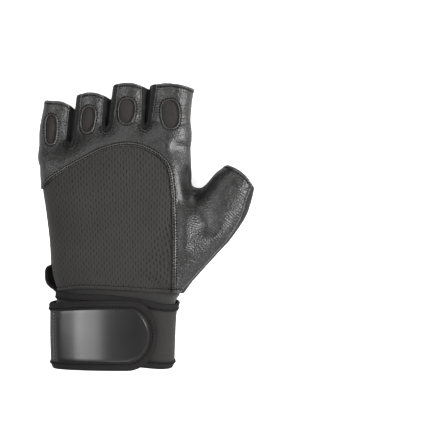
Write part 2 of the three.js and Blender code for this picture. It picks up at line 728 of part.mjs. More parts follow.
// Binding tape on the strap's outer face, down one edge, round the end and back along the other.
const tapeOuter = strapBand(0, strapLength, strapHalf, across, tapeLow, tapeHigh);
const tapeHole = strapBand(
  -0.01, strapLength - bindingWidth, strapHalf - bindingWidth, across, tapeLow - 1.5, tapeHigh + 1.5,
);
addPiece("strap_binding", largest(tapeOuter.subtract(tapeHole).intersect(overSurface)), bindingLook);

// Smooth panel on the strap's end, inside the binding.
const panelHalf = strapHalf - bindingWidth - seamGap;
const panelEnd = strapLength - bindingWidth - panelInset;
const panelRun = strapStations.find((s) => {
  const p = cuffPoint(s.angle, strapMiddleY, layerOffset(s.angle));
  return s.angle < -Math.PI && p.x > panelStartX;
}).run;
const panelLayer = strapBand(0, strapLength, strapHalf, across, tapeLow, tapeLow + panelThickness);
const panelShape = strapBand(panelRun, panelEnd, panelHalf, across, tapeLow - 1.5, tapeHigh + 1.5);
const panel = largest(panelLayer.intersect(panelShape));
addPiece("strap_panel", panel, panelLook);

// Pull loop: a tape sewn into the side seam, standing out on the little finger's side.
const loopTop = hemY + 17.5;
const loopSide = -0.425 * knuckleWidth;
const loopCurve = (grow) => {
  const corners = [
    [loopSide + 2.0, loopTop + grow],
    [loopSide - loopReach * 0.55 - grow, loopTop - loopLength * 0.12 + grow * 0.6],
    [loopSide - loopReach + 2.4 - grow, loopTop - loopLength * 0.4],
    [loopSide - loopReach + 3.4 - grow, loopTop - loopLength * 0.68],
    [loopSide + 2.6, loopTop - loopLength - grow],
  ];
  return smoothLine(corners, 16);
};
const loopOutline = [...loopCurve(0), ...loopCurve(-loopTape).reverse()];
const loopZ = seamZ + 2;
const loop = prism(loopOutline, loopZ - loopHeight / 2, loopZ + loopHeight / 2);
addPiece("pull_loop", largest(loop.subtract(handForm(-seamGap))), bindingLook);

export default group;
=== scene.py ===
import math
from functools import partialmethod

import bpy
import numpy as np
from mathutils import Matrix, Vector
from mathutils.bvhtree import BVHTree


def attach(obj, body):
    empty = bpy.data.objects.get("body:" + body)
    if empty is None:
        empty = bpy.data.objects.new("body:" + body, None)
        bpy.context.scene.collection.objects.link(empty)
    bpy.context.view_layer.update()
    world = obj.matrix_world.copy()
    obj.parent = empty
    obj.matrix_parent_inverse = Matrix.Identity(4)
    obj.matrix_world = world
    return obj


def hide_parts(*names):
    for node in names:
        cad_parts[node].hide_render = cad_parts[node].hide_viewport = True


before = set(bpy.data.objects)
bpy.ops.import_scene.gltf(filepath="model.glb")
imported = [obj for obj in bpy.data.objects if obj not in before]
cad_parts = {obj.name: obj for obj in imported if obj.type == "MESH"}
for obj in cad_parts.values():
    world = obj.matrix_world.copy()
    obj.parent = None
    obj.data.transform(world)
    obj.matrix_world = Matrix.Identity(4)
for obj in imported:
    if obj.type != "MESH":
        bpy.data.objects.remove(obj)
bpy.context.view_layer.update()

MM = 0.001  # lengths below are in millimetres, and meshes in metres


# Palm leather
# One piece of goatskin with a thin lining, cut for the palm, the undersides of the stalls and the thumb.
# It is sewn to the back along the side seam, and its edges are turned in at the mouths and at the wrist hem.
# Its form is the worn hand: an oval palm that the four stalls and the thumb grow out of.

LEATHER_DEPTH = 1.9  # folded and lined
EDGE_DEPTH = 0.92  # a single thickness, where fabric is tucked under it
FABRIC_TOP = 1.0
FABRIC_DEPTH = 2.3
TUCK = 3.0
LAP_TOP, LAP_DEPTH, LAP_RISE = 2.35, 3.5, 3.5
SEAM_Z = 15.0
FRONT_CLEARANCE = 2.2
PALM_LENGTH = 108.0
PALM_HEIGHT = 36.0
KNUCKLE_FALL = 9.5
HEM_Y = -40.0
KNUCKLE_WIDTH = 100.8
FINGER_GAP = 1.2
STALL_UNDERSIDE = 1.6
STALL_ROOT = 9.0
STALL_PIVOT = 5.0
BACK_EXPONENT = 2.35
REST_EXPONENT = 3.1
PALM_MIDDLE = 0.46  # where the palm is widest, as a share of its height
FIRST_EDGE = -0.513  # of the little finger, as a share of KNUCKLE_WIDTH

# mouth: how far it lies from the hem. drops: how far its arc falls back at the ulnar and the radial side.
# swell: the sign of the side that swells, then its place and width as shares of the stall, and its height.
FINGERS = [
    dict(name="little", width=20.4, depth=20.0, mouth=126.4, lean=0.1, droop=2.0, drops=(0.3, 4.6),
         swell=(-1, 0.5, 0.3, 1.5)),
    dict(name="ring", width=22.6, depth=23.0, mouth=132.1, lean=0.12, droop=1.0, drops=(3.2, 3.5),
         swell=(0, 0.0, 1.0, 0.0)),
    dict(name="middle", width=25.2, depth=24.5, mouth=138.6, lean=0.1, droop=1.0, drops=(3.4, 3.4),
         swell=(0, 0.0, 1.0, 0.0)),
    dict(name="index", width=29.0, depth=25.0, mouth=138.2, lean=0.08, droop=2.0, drops=(2.4, 2.2),
         swell=(1, 1.0, 0.2, 1.0)),
]

# along: share of PALM_LENGTH. ulnar, radial: the sides, as shares of KNUCKLE_WIDTH.
# under: share of FRONT_CLEARANCE. crown: share of PALM_HEIGHT.
PALM_SECTIONS = [
    dict(along=-0.08, ulnar=-0.38, radial=0.39, under=2.2, crown=0.98),
    dict(along=0.0, ulnar=-0.4, radial=0.45, under=1.7, crown=1.0),
    dict(along=0.12, ulnar=-0.433, radial=0.47, under=1.0, crown=1.02),
    dict(along=0.3, ulnar=-0.447, radial=0.475, under=1.0, crown=1.03),
    dict(along=0.5, ulnar=-0.473, radial=0.485, under=1.0, crown=1.02),
    dict(along=0.62, ulnar=-0.492, radial=0.5, under=1.0, crown=0.99),
    dict(along=0.72, ulnar=-0.503, radial=0.505, under=1.0, crown=0.95),
    dict(along=0.84, ulnar=-0.5, radial=0.496, under=1.0, crown=0.86),
    dict(along=1.0, ulnar=-0.506, radial=0.494, under=1.0, crown=1 - KNUCKLE_FALL / PALM_HEIGHT),
    dict(along=1.12, ulnar=-0.513, radial=0.494, under=1.0, crown=1 - KNUCKLE_FALL / PALM_HEIGHT),
]
PALM_FRONT = [
    dict(across=-0.7, along=0.85),
    dict(across=-0.312, along=0.904),
    dict(across=-0.068, along=1.003),
    dict(across=0.206, along=1.019),
    dict(across=0.7, along=1.02),
]

THUMB_LENGTH = 92.0
THUMB_ANGLE = math.radians(50)
THUMB_WIDTH = 23.3
THUMB_DEPTH = 24.0
THUMB_MOUTH = (85.1, 38.3)
THUMB_UNDERSIDE = 2.4
THUMB_BULGE = 2.4
THUMB_SECTIONS = [
    dict(back=-0.1, inner=0.46, outer=0.44, gusset=0.1, depth=0.98),
    dict(back=0.0, inner=0.48, outer=0.53, gusset=0.1, depth=1.0),
    dict(back=0.11, inner=0.58, outer=0.74, gusset=0.18, depth=1.06),
    dict(back=0.22, inner=0.59, outer=0.91, gusset=0.16, depth=1.14),
    dict(back=0.33, inner=0.68, outer=0.97, gusset=0.1, depth=1.22),
    dict(back=0.45, inner=0.85, outer=0.99, gusset=0.08, depth=1.32),
    dict(back=0.75, inner=0.9, outer=0.95, gusset=0.08, depth=1.46),
    dict(back=1.0, inner=0.7, outer=0.92, gusset=0.08, depth=1.46),
]


def table_value(rows, key, column, share):
    """Value of a column at a share along a table, on a smooth curve through its rows."""
    keys = np.array([r[key] for r in rows])
    values = np.array([r[column] for r in rows])
    share = np.asarray(share, float)
    last = len(rows) - 1
    i = np.clip(np.searchsorted(keys, share, side="left") - 1, 0, last - 1)
    before, after = np.maximum(i - 1, 0), np.minimum(i + 2, last)
    span = keys[i + 1] - keys[i]
    t = np.clip((share - keys[i]) / span, 0, 1)
    slope_a = (values[i + 1] - values[before]) / (keys[i + 1] - keys[before]) * span
    slope_b = (values[after] - values[i]) / (keys[after] - keys[i]) * span
    t2, t3 = t * t, t * t * t
    start = (2 * t3 - 3 * t2 + 1) * values[i] + (t3 - 2 * t2 + t) * slope_a
    return start + (3 * t2 - 2 * t3) * values[i + 1] + (t3 - t2) * slope_b


def smooth_max(a, b, k):
    h = np.maximum(k - np.abs(a - b), 0)
    return np.maximum(a, b) + h * h / (4 * k)


def smooth_min(a, b, k):
    return -smooth_max(-a, -b, k)


def eased(value, low, high):
    t = np.clip((value - low) / (high - low), 0, 1)
    return t * t * (3 - 2 * t)


def palm_front(x):
    return HEM_Y + table_value(PALM_FRONT, "across", "along", x / KNUCKLE_WIDTH) * PALM_LENGTH


def lay_out_stalls():
    edge = FIRST_EDGE * KNUCKLE_WIDTH
    stalls = []
    for f in FINGERS:
        middle = edge + f["width"] / 2
        mouth_y = HEM_Y + f["mouth"]
        root_y = float(palm_front(middle)) - STALL_ROOT
        length = mouth_y - root_y
        root_x = middle - f["lean"] * (STALL_ROOT - STALL_PIVOT)
        run = np.array([f["lean"], 1.0]) / math.hypot(f["lean"], 1)
        mouth = np.array([root_x + f["lean"] * length, mouth_y])
        reach = (f["width"] + FINGER_GAP) / 2
        root = np.array([root_x, root_y])
        stalls.append(dict(f, root=root, mouth_at=mouth, run=run, length=length, reach=reach))
        edge += f["width"] + FINGER_GAP
    return stalls


STALLS = lay_out_stalls()
# How softly the stalls and the thumb grow from the palm: on the palm's side, and more so on the back.
CROTCH_BLEND, SIDE_BLEND, THUMB_BLEND = 3.2, 3.6, 6.5
BACK_BLEND, BACK_FROM, BACK_TO = 8.0, 14.0, 21.0
FRONT_ROUND, ROOT_ROUND, KNUCKLE_EASE = 5.0, 4.0, 7.0
SWELL_SIDE = 4.0  # beyond this distance from its middle line the whole side of a stall swells
THUMB_RUN = np.array([math.cos(THUMB_ANGLE), math.sin(THUMB_ANGLE)])
THUMB_ACROSS = np.array([THUMB_RUN[1], -THUMB_RUN[0]])


def oval_distance(u, w, half, rise, fall):
    """About how far a point of a cross-section lies outside its oval."""
    above = w >= 0
    p = np.where(above, BACK_EXPONENT, REST_EXPONENT)
    height = np.where(above, rise, fall)
    a, b = np.abs(u) / half + 1e-6, np.abs(w) / height + 1e-6
    ap, bp = a ** (p - 1), b ** (p - 1)
    g = (ap * a + bp * b) ** (1 / p)
    slope = g ** (1 - p) * np.sqrt((ap / half) ** 2 + (bp / height) ** 2)
    return (g - 1) / slope


def table_values(rows, key, columns, share):
    return [table_value(rows, key, column, share) for column in columns.split()]


def palm_section(y):
    """The palm's sides, underside, middle and crown at a place along it."""
    share = (y - HEM_Y) / PALM_LENGTH
    left, right, under, crown = table_values(PALM_SECTIONS, "along", "ulnar radial under crown", share)
    low, high = under * FRONT_CLEARANCE, FRONT_CLEARANCE + crown * PALM_HEIGHT
    return left * KNUCKLE_WIDTH, right * KNUCKLE_WIDTH, low, low + (high - low) * PALM_MIDDLE, high


def palm_distance(x, y, z):
    left, right, low, middle, high = palm_section(y)
    return oval_distance(x - (left + right) / 2, z - middle, (right - left) / 2, high - middle, middle - low)


def stall_distance(s, x, y, z):
    run = (x - s["root"][0]) * s["run"][0] + (y - s["root"][1]) * s["run"][1]
    side = (x - s["root"][0]) * s["run"][1] - (y - s["root"][1]) * s["run"][0]
    half = s["depth"] / 2
    lift = STALL_UNDERSIDE + s["droop"] * (1 - run / s["length"]) * 0.5
    return oval_distance(side, z - lift - half, s["width"] / 2, half, half), run, side


def thumb_place(x, y):
    """Share back from the mouth, and distance across towards the wrist."""
    dx, dy = x - THUMB_MOUTH[0], y - THUMB_MOUTH[1]
    ahead = dx * THUMB_RUN[0] + dy * THUMB_RUN[1]
    return -ahead / THUMB_LENGTH, dx * THUMB_ACROSS[0] + dy * THUMB_ACROSS[1]


def thumb_distance(x, y, z):
    back, side = thumb_place(x, y)
    inner, outer, depth = table_values(THUMB_SECTIONS, "back", "inner outer depth", back)
    inner, outer, half = inner * THUMB_WIDTH, outer * THUMB_WIDTH, depth * THUMB_DEPTH / 2
    across, above = side - (outer - inner) / 2, z - THUMB_UNDERSIDE - half
    return oval_distance(across, above, (inner + outer) / 2, half, half), back


# The skin between thumb and index finger fills this corner.
WEB = (52.8, 25.3)
WEB_REACH, WEB_FILL = 4.0, 2.9
WEB_BAND = (14.0, 9.0)  # its middle height and how far it reaches above and below


def bump_along(distance, at, width, height):
    """A rounded ridge (or groove) where a distance has one value."""
    return height * np.exp(-(((distance - at) / width) ** 2))


def hand_distance(x, y, z):
    """Distance outside the leather's plain outer face, negative inside."""
    on_back = eased(z, BACK_FROM, BACK_TO)
    palm = smooth_max(palm_distance(x, y, z), y - palm_front(x), FRONT_ROUND + KNUCKLE_EASE * on_back)
    whole = palm
    for s in STALLS:
        section, run, side = stall_distance(s, x, y, z)
        swell_side, *swell = s["swell"]
        outward = np.clip(swell_side * side / SWELL_SIDE, 0, 1)
        stall = smooth_max(section, -run, ROOT_ROUND) - outward * bump_along(run / s["length"], *swell)
        blend = CROTCH_BLEND + (SIDE_BLEND - CROTCH_BLEND) * outward
        blend = blend + (BACK_BLEND - blend) * on_back
        whole = np.minimum(whole, smooth_min(palm, stall, blend))
    section, back = thumb_distance(x, y, z)
    thumb = smooth_max(section, (back - 1.0) * THUMB_LENGTH, FRONT_ROUND)
    whole = smooth_min(whole, thumb, THUMB_BLEND)
    web = bump_along(np.hypot(x - WEB[0], y - WEB[1]), 0, WEB_REACH, WEB_FILL)
    return whole - web * bump_along(z, *WEB_BAND, 1)


# The hand as a grid of distances, with its step, its box and its columns in plan.
STEP = 0.7
HAND_BOX = ((-55.0, 94.0), (-46.0, 105.0), (-3.0, 45.0))
AXES = [np.arange(low, high, STEP) for low, high in HAND_BOX]
GX, GY, GZ = np.meshgrid(*AXES, indexing="ij", sparse=True)
PX, PY = np.meshgrid(AXES[0], AXES[1], indexing="ij")
HAND = hand_distance(GX, GY, GZ).astype(np.float32)


def outline_place(outline):
    """At every grid column: distance in plan from a closed outline, negative inside, and the run along it."""
    a = np.asarray(outline, float)
    b = np.roll(a, -1, axis=0)
    best, place, run = np.full(PX.shape, 1e9), np.zeros(PX.shape), 0.0
    inside = np.zeros(PX.shape, bool)
    for (ax, ay), (bx, by) in zip(a, b):
        ex, ey = bx - ax, by - ay
        length = max(math.hypot(ex, ey), 1e-6)
        t = np.clip(((PX - ax) * ex + (PY - ay) * ey) / length**2, 0, 1)
        away = np.hypot(PX - ax - ex * t, PY - ay - ey * t)
        place = np.where(away < best, run + t * length, place)
        best = np.minimum(best, away)
        run += length
        if ay != by:
            inside ^= ((ay > PY) != (by > PY)) & (PX < ex * (PY - ay) / ey + ax)
    return np.where(inside, -best, best), place


def outline_distance(outline):
    return outline_place(outline)[0]


def smooth_line(points, steps, closed=False):
    """Centripetal curve through points in plan, evenly divided."""
    p = np.asarray(points, float)
    if closed:
        p = np.vstack([p[-1], p, p[0], p[1]])
    else:
        p = np.vstack([2 * p[0] - p[1], p, 2 * p[-1] - p[-2]])
    found = []
    for i in range(1, len(p) - 2):
        p0, p1, p2, p3 = p[i - 1 : i + 3]
        t1 = max(np.linalg.norm(p1 - p0), 1e-6) ** 0.5
        t2 = t1 + max(np.linalg.norm(p2 - p1), 1e-6) ** 0.5
        t3 = t2 + max(np.linalg.norm(p3 - p2), 1e-6) ** 0.5
        for t in np.linspace(t1, t2, 12, endpoint=False):
            a1, a2, a3 = (
                ((t1 - t) * p0 + t * p1) / t1,
                ((t2 - t) * p1 + (t - t1) * p2) / (t2 - t1),
                ((t3 - t) * p2 + (t - t2) * p3) / (t3 - t2),
            )
            b1 = ((t2 - t) * a1 + t * a2) / t2
            b2 = ((t3 - t) * a2 + (t - t1) * a3) / (t3 - t1)
            found.append(((t2 - t) * b1 + (t - t1) * b2) / (t2 - t1))
    if not closed:
        found.append(p[-2])
    return evenly(np.array(found), steps, closed)


def runs_along(line):
    """The run from the first point of a line to each of its points."""
    return np.concatenate([[0], np.cumsum(np.linalg.norm(np.diff(line, axis=0), axis=1))])


def evenly(line, steps, closed=False):
    ring = np.vstack([line, line[:1]]) if closed else line
    run = runs_along(ring)
    marks = np.linspace(0, run[-1], steps + 1)
    even = np.stack([np.interp(marks, run, ring[:, k]) for k in range(ring.shape[1])], 1)
    return even[:-1] if closed else even


def in_plan(rows):
    return [(r[0] * KNUCKLE_WIDTH, HEM_Y + r[1] * PALM_LENGTH) for r in rows]


def mouth_arc(s, back=0.0):
    """The arc of a mouth in plan, moved back along the finger."""
    across = np.array([s["run"][1], -s["run"][0]])
    return np.array([
        s["mouth_at"] + across * (t * s["reach"]) - s["run"] * (s["drops"][0 if t < 0 else 1] * t * t + back)
        for t in np.linspace(-1, 1, 17)
    ])


PAST_MOUTH = 30.0  # how far ahead of a mouth all is cut away


def mouth_outline(s):
    """What is cut away past a mouth: all that lies ahead of its arc."""
    arc = mouth_arc(s)
    return np.vstack([arc, arc[-1] + s["run"] * PAST_MOUTH, arc[0] + s["run"] * PAST_MOUTH])


THUMB = dict(
    mouth_at=np.array(THUMB_MOUTH), run=THUMB_RUN, reach=THUMB_WIDTH, drops=(4 * THUMB_BULGE, 4 * THUMB_BULGE)
)
MOUTHS = [*STALLS, THUMB]

# Folds of the worn back: where each runs in plan, how wide and how high.
BACK_FOLDS = [
    dict(line=[(35, 55), (40, 42), (44, 25), (46, 8), (46, -12)], width=4.5, height=1.2),
    dict(line=[(50.5, 36), (53, 24), (56.5, 14), (60, 3)], width=6.5, height=-3.2),
    dict(line=[(-38, 74), (-28, 73), (-20, 76)], width=2.6, height=0.5),
    dict(line=[(-18, 79), (-8, 80), (2, 82)], width=2.6, height=0.5),
    dict(line=[(4, 84), (12, 81), (22, 82)], width=2.8, height=0.7),
    dict(line=[(28, 84), (38, 80), (46, 82)], width=2.6, height=0.6),
    dict(line=[(24, 74), (34, 70), (46, 72)], width=2.4, height=-0.5),
    dict(line=[(66, 33), (72, 22), (76, 10), (72, -4)], width=6.0, height=0.8),
]


FOLDS_START = 5.0  # the height above the seam where they reach their full size


def line_distance(points):
    """Distance in plan from an open line at every grid column."""
    line = smooth_line(points, 24)
    return np.abs(outline_distance([*line, *line[::-1]]))


back_folds = sum(bump_along(line_distance(f["line"]), 0, f["width"], f["height"]) for f in BACK_FOLDS)
above_seam = np.clip((GZ - SEAM_Z) / FOLDS_START, 0, 1)
HAND = (HAND - back_folds[..., None] * above_seam).astype(np.float32)
PAST_MOUTHS = np.minimum.reduce([outline_distance(mouth_outline(m)) for m in MOUTHS])

CUBE_CORNERS = [(i, j, k) for i in (0, 1) for j in (0, 1) for k in (0, 1)]
CUBE_EDGES = [(a, b) for a in range(8) for b in range(a + 1, 8) if (a ^ b) in (1, 2, 4)]


def surface_of(field, low):
    """Vertices and outward quads where a grid of distances passes through nought."""
    f = np.pad(field, 1, constant_values=5.0)
    inside = f < 0
    count = sum(inside[i : i - 1 or None, j : j - 1 or None, k : k - 1 or None].astype(np.int8)
                for i, j, k in CUBE_CORNERS)
    cells = np.argwhere((count > 0) & (count < 8))
    index = np.full(count.shape, -1, np.int64)
    index[tuple(cells.T)] = np.arange(len(cells))
    values = np.stack([f[tuple((cells + c).T)] for c in CUBE_CORNERS], 1)
    total, crossings = np.zeros((len(cells), 3)), np.zeros(len(cells))
    for a, b in CUBE_EDGES:
        va, vb = values[:, a], values[:, b]
        crosses = (va < 0) != (vb < 0)
        t = np.where(crosses, va / np.where(crosses, va - vb, 1), 0)
        ca, cb = np.array(CUBE_CORNERS[a]), np.array(CUBE_CORNERS[b])
        total += np.where(crosses[:, None], ca + t[:, None] * (cb - ca), 0)
        crossings += crosses
    points = cells + total / crossings[:, None] - 1
    quads = []
    for axis in range(3):
        u, v = (axis + 1) % 3, (axis + 2) % 3
        here = [slice(1, -1)] * 3
        here[axis] = slice(0, -1)
        ahead = list(here)
        ahead[axis] = slice(1, None)
        a, b = inside[tuple(here)], inside[tuple(ahead)]
        for turned, mask in ((False, a & ~b), (True, ~a & b)):
            at = np.argwhere(mask) + [0 if k == axis else 1 for k in range(3)]
            du, dv = np.eye(3, dtype=int)[u], np.eye(3, dtype=int)[v]
            ring = [at - du - dv, at - dv, at, at - du]
            quad = np.stack([index[tuple(c.T)] for c in (ring[::-1] if turned else ring)], 1)
            quads.append(quad)
    return points * STEP + low, np.vstack(quads)


def relaxed(points, quads, rounds):
    """Points moved halfway to the middle of their neighbours, a number of times."""
    pairs = np.vstack([quads[:, [k, (k + 1) % 4]] for k in range(4)])
    for _ in range(rounds):
        total, count = np.zeros_like(points), np.zeros(len(points))
        for a, b in ((0, 1), (1, 0)):
            np.add.at(total, pairs[:, a], points[pairs[:, b]])
            np.add.at(count, pairs[:, a], 1)
        points = points + 0.5 * (total / count[:, None] - points)
    return points


def new_object(name, data):
    made = bpy.data.objects.new(name, data)
    bpy.context.scene.collection.objects.link(made)
    return made


def make_mesh(name, points, faces, material, uv=None, notes=None):
    """A smooth mesh object from points in millimetres, with notes on its points for the material."""
    mesh = bpy.data.meshes.new(name)
    mesh.from_pydata((points * MM).tolist(), [], faces.tolist() if isinstance(faces, np.ndarray) else faces)
    mesh.validate()
    mesh.shade_smooth()
    mesh.materials.append(material)
    if uv is not None:
        layer = mesh.uv_layers.new(name="UVMap")
        corners = np.empty(len(mesh.loops), int)
        mesh.loops.foreach_get("vertex_index", corners)
        layer.data.foreach_set("uv", np.asarray(uv, float)[corners].ravel())
    for label, values in (notes or {}).items():
        mesh.attributes.new(label, "FLOAT", "POINT").data.foreach_set("value", np.asarray(values, np.float32))
    return new_object(name, mesh)


def form_piece(name, field, material, notes=None, uv=None):
    """A closed piece from a field over the hand's grid, without crumbs."""
    field = field.astype(np.float32)
    reach = np.argwhere(field < STEP * 2)
    low, high = np.maximum(reach.min(0) - 1, 0), reach.max(0) + 2
    part = field[tuple(slice(a, b) for a, b in zip(low, high))]
    origin = np.array([AXES[k][low[k]] for k in range(3)])
    points, quads = largest_body(*surface_of(part, origin))
    points = relaxed(points, quads, 2)
    noted = {label: at_columns(values, points) for label, values in (notes or {}).items()}
    return make_mesh(name, points, quads, material, uv(points) if uv else None, noted)


def at_columns(values, points):
    """A plan's values at points, interpolated between the grid's columns."""
    u = (points[:, 0] - AXES[0][0]) / STEP
    v = (points[:, 1] - AXES[1][0]) / STEP
    i, j = (np.clip(w.astype(int), 0, n - 2) for w, n in ((u, len(AXES[0])), (v, len(AXES[1]))))
    u, v = np.clip(u - i, 0, 1), np.clip(v - j, 0, 1)
    near = values[i, j] * (1 - v) + values[i, j + 1] * v
    far = values[i + 1, j] * (1 - v) + values[i + 1, j + 1] * v
    return near * (1 - u) + far * u


def largest_body(points, quads):
    """The largest body of quads that join along whole edges, without the crumbs that only touch it."""
    sides = np.sort(np.stack([quads, np.roll(quads, -1, axis=1)], 2), axis=2)
    number = sides[..., 0] * len(points) + sides[..., 1]
    _, side, uses = np.unique(number, return_inverse=True, return_counts=True)
    side = side.reshape(quads.shape)
    joined = uses[side] == 2
    label = np.arange(len(quads))
    while True:
        lowest = np.full(len(uses), len(quads))
        new = label.copy()
        for k in range(4):
            np.minimum.at(lowest, side[joined[:, k], k], label[joined[:, k]])
        for k in range(4):
            new = np.where(joined[:, k], np.minimum(new, lowest[side[:, k]]), new)
        new = new[new]
        if np.array_equal(new, label):
            break
        label = new
    names, counts = np.unique(label, return_counts=True)
    quads = quads[label == names[counts.argmax()]]
    kept = np.unique(quads)
    number = np.zeros(len(points), int)
    number[kept] = np.arange(len(kept))
    return points[kept], number[quads]


def in_columns(values):
    """Values in plan, given a height axis of their own."""
    return values[..., None] if np.ndim(values) == 2 else values


WALL_ROUND = 0.4


def wall_field(relief, inner, *edges, edge_round):
    """The wall between a relief on the hand's outer face and a depth inside it, cut by edges in plan."""
    body = smooth_max(HAND - in_columns(relief), -(HAND + in_columns(inner)), WALL_ROUND)
    cut = np.maximum.reduce([np.broadcast_to(e, PX.shape) for e in edges])
    return smooth_max(body, cut[..., None], edge_round).astype(np.float32)


def leather_depth(beside_fabric):
    """One thickness of leather over the tucked fabric, and the folded, lined thickness elsewhere."""
    return EDGE_DEPTH + (LEATHER_DEPTH - EDGE_DEPTH) * eased(beside_fabric, TUCK + 0.3, TUCK + 2.0)


# Shared material parts.
class Tree:
    """Adds nodes to a tree and links them in one call each."""

    def __init__(self, tree):
        self.tree = tree

    def node(self, kind, links=None, **settings):
        made = self.tree.nodes.new(kind)
        for key, value in settings.items():
            setattr(made, key, value)
        for key, value in (links or {}).items():
            socket = made.inputs[key]
            if isinstance(value, bpy.types.NodeSocket):
                self.tree.links.new(value, socket)
            else:
                socket.default_value = value
        return made

    def math(self, operation, *values):
        return self.node("ShaderNodeMath", dict(enumerate(values)), operation=operation).outputs[0]

    add = partialmethod(math, "ADD")
    sub = partialmethod(math, "SUBTRACT")
    mul = partialmethod(math, "MULTIPLY")
    div = partialmethod(math, "DIVIDE")
    abs = partialmethod(math, "ABSOLUTE")
    sin = partialmethod(math, "SINE")
    cos = partialmethod(math, "COSINE")

    def ramp(self, value, low, high, to_low=0.0, to_high=1.0):
        links = {"Value": value, "From Min": low, "From Max": high, "To Min": to_low, "To Max": to_high}
        return self.node("ShaderNodeMapRange", links, interpolation_type="SMOOTHSTEP").outputs[0]

    def noise(self, spot, scale, detail=2.0, output="Fac"):
        links = {"Vector": spot, "Scale": scale, "Detail": detail}
        return self.node("ShaderNodeTexNoise", links).outputs[output]

    def shifted(self, spot, scale, detail, reach):
        """The spot moved about by a noise, as far as reach along each axis."""
        noise = self.noise(spot, scale, detail, "Color")
        shift = self.node("ShaderNodeVectorMath", {0: noise, 1: reach}, operation="MULTIPLY").outputs[0]
        return self.node("ShaderNodeVectorMath", {0: spot, 1: shift}, operation="ADD").outputs[0]

    def note(self, name):
        return self.node("ShaderNodeAttribute", attribute_name=name).outputs["Fac"]

    def patches(self, broad, strength):
        return self.mul(self.sub(broad, 0.5), strength)

    def put_out(self, shade, gloss, height):
        self.node("NodeGroupOutput", {"Shade": shade, "Gloss": gloss, "Height": height})
        return self.tree


def new_group(name, space, *inputs):
    """A group that puts out a colour factor, a roughness and a height: its tree, its inputs and the spot."""
    group = bpy.data.node_groups.new(name, "ShaderNodeTree")
    for label in inputs:
        group.interface.new_socket(name=label, in_out="INPUT", socket_type="NodeSocketFloat")
    for label in ("Shade", "Gloss", "Height"):
        group.interface.new_socket(name=label, in_out="OUTPUT", socket_type="NodeSocketFloat")
    t = Tree(group)
    return t, t.node("NodeGroupInput").outputs, t.node("ShaderNodeTexCoord").outputs[space]


def leather_grain_group():
    """Pebbled grain with folds. The points' notes add sewn rows with painted shade in their grooves, turned
    edges with a painted highlight, puckers and wrinkles.
    """
    t, given, spot = new_group("Leather grain", "Object", "Cell size mm", "Crease", "Patchiness")
    place = t.shifted(spot, 260.0, 2.0, (0.0011, 0.0011, 0.0011))
    pebbles = {"Vector": place, "Scale": t.div(1000.0, given["Cell size mm"]), "Smoothness": 0.35}
    cells = t.node("ShaderNodeTexVoronoi", pebbles, feature="SMOOTH_F1").outputs["Distance"]
    pebble = t.ramp(cells, 0.05, 0.75, 1.0, 0.0)
    fine = t.noise(spot, 2600.0, 3.0)
    broad = t.noise(spot, 34.0, 4.0)
    long_folds = {"Vector": spot, "Scale": 95.0, "Detail": 3.0, "Distortion": 1.2}
    fold = t.abs(t.sub(t.node("ShaderNodeTexNoise", long_folds).outputs["Fac"], 0.5))
    fold = t.mul(t.ramp(fold, 0.0, 0.05, 1.0, 0.0), given["Crease"])

    seam = t.note("seam")
    second = t.ramp(t.note("rows"), 1.4, 1.6)

    def band(at, width):
        return t.ramp(t.div(t.abs(t.sub(seam, at)), width), 0.0, 1.0, 1.0, 0.0)

    # The grooves of the sewn rows: sunk in the bump and darkened in colour below, as painted shade.
    groove_and_shade = t.math("MAXIMUM", band(1.0, 0.36), t.mul(band(2.0, 0.36), second))
    roll = t.math("MAXIMUM", band(0.4, 0.42), t.mul(band(1.5, 0.38), second))
    # The turned edges: lightened in colour below as a painted highlight, and made glossier.
    painted_rim_highlight = t.math("MAXIMUM", band(0.25, 0.34), t.mul(band(1.5, 0.4), second))
    phase = t.add(t.mul(t.note("run"), 2.6), t.mul(t.noise(spot, 120.0, 1.0), 9.0))
    pucker = t.mul(t.sin(phase), t.mul(t.ramp(seam, 1.0, 5.0, 1.0, 0.0), t.note("pucker")))
    crest = t.sin(t.add(t.mul(t.note("course"), 4.2), t.mul(t.noise(spot, 110.0, 3.0), 13.0)))
    fades = t.ramp(t.noise(spot, 85.0), 0.36, 0.56)
    wrinkle = t.mul(t.mul(crest, t.note("wrinkles")), fades)

    height = t.add(t.mul(pebble, 0.75), t.mul(fine, 0.25))
    height = t.sub(height, t.mul(fold, 0.55))
    height = t.add(height, t.mul(pucker, 0.45))
    height = t.add(height, t.mul(wrinkle, 1.1))
    height = t.add(height, t.mul(t.sub(roll, groove_and_shade), 1.7))
    patch = t.patches(broad, given["Patchiness"])
    # Colour: grain and patches, darker in the sewn grooves (painted shade) and lighter on the turned edges
    # (painted highlight).
    shade = t.sub(t.add(t.mul(pebble, 0.9), t.mul(patch, 0.8)), groove_and_shade)
    shade = t.add(t.mul(shade, 0.35), t.mul(painted_rim_highlight, 0.9))
    gloss = t.add(t.add(t.mul(pebble, -0.35), patch), t.sub(groove_and_shade, painted_rim_highlight))
    return t.put_out(shade, gloss, height)


LEATHER_GRAIN = leather_grain_group()


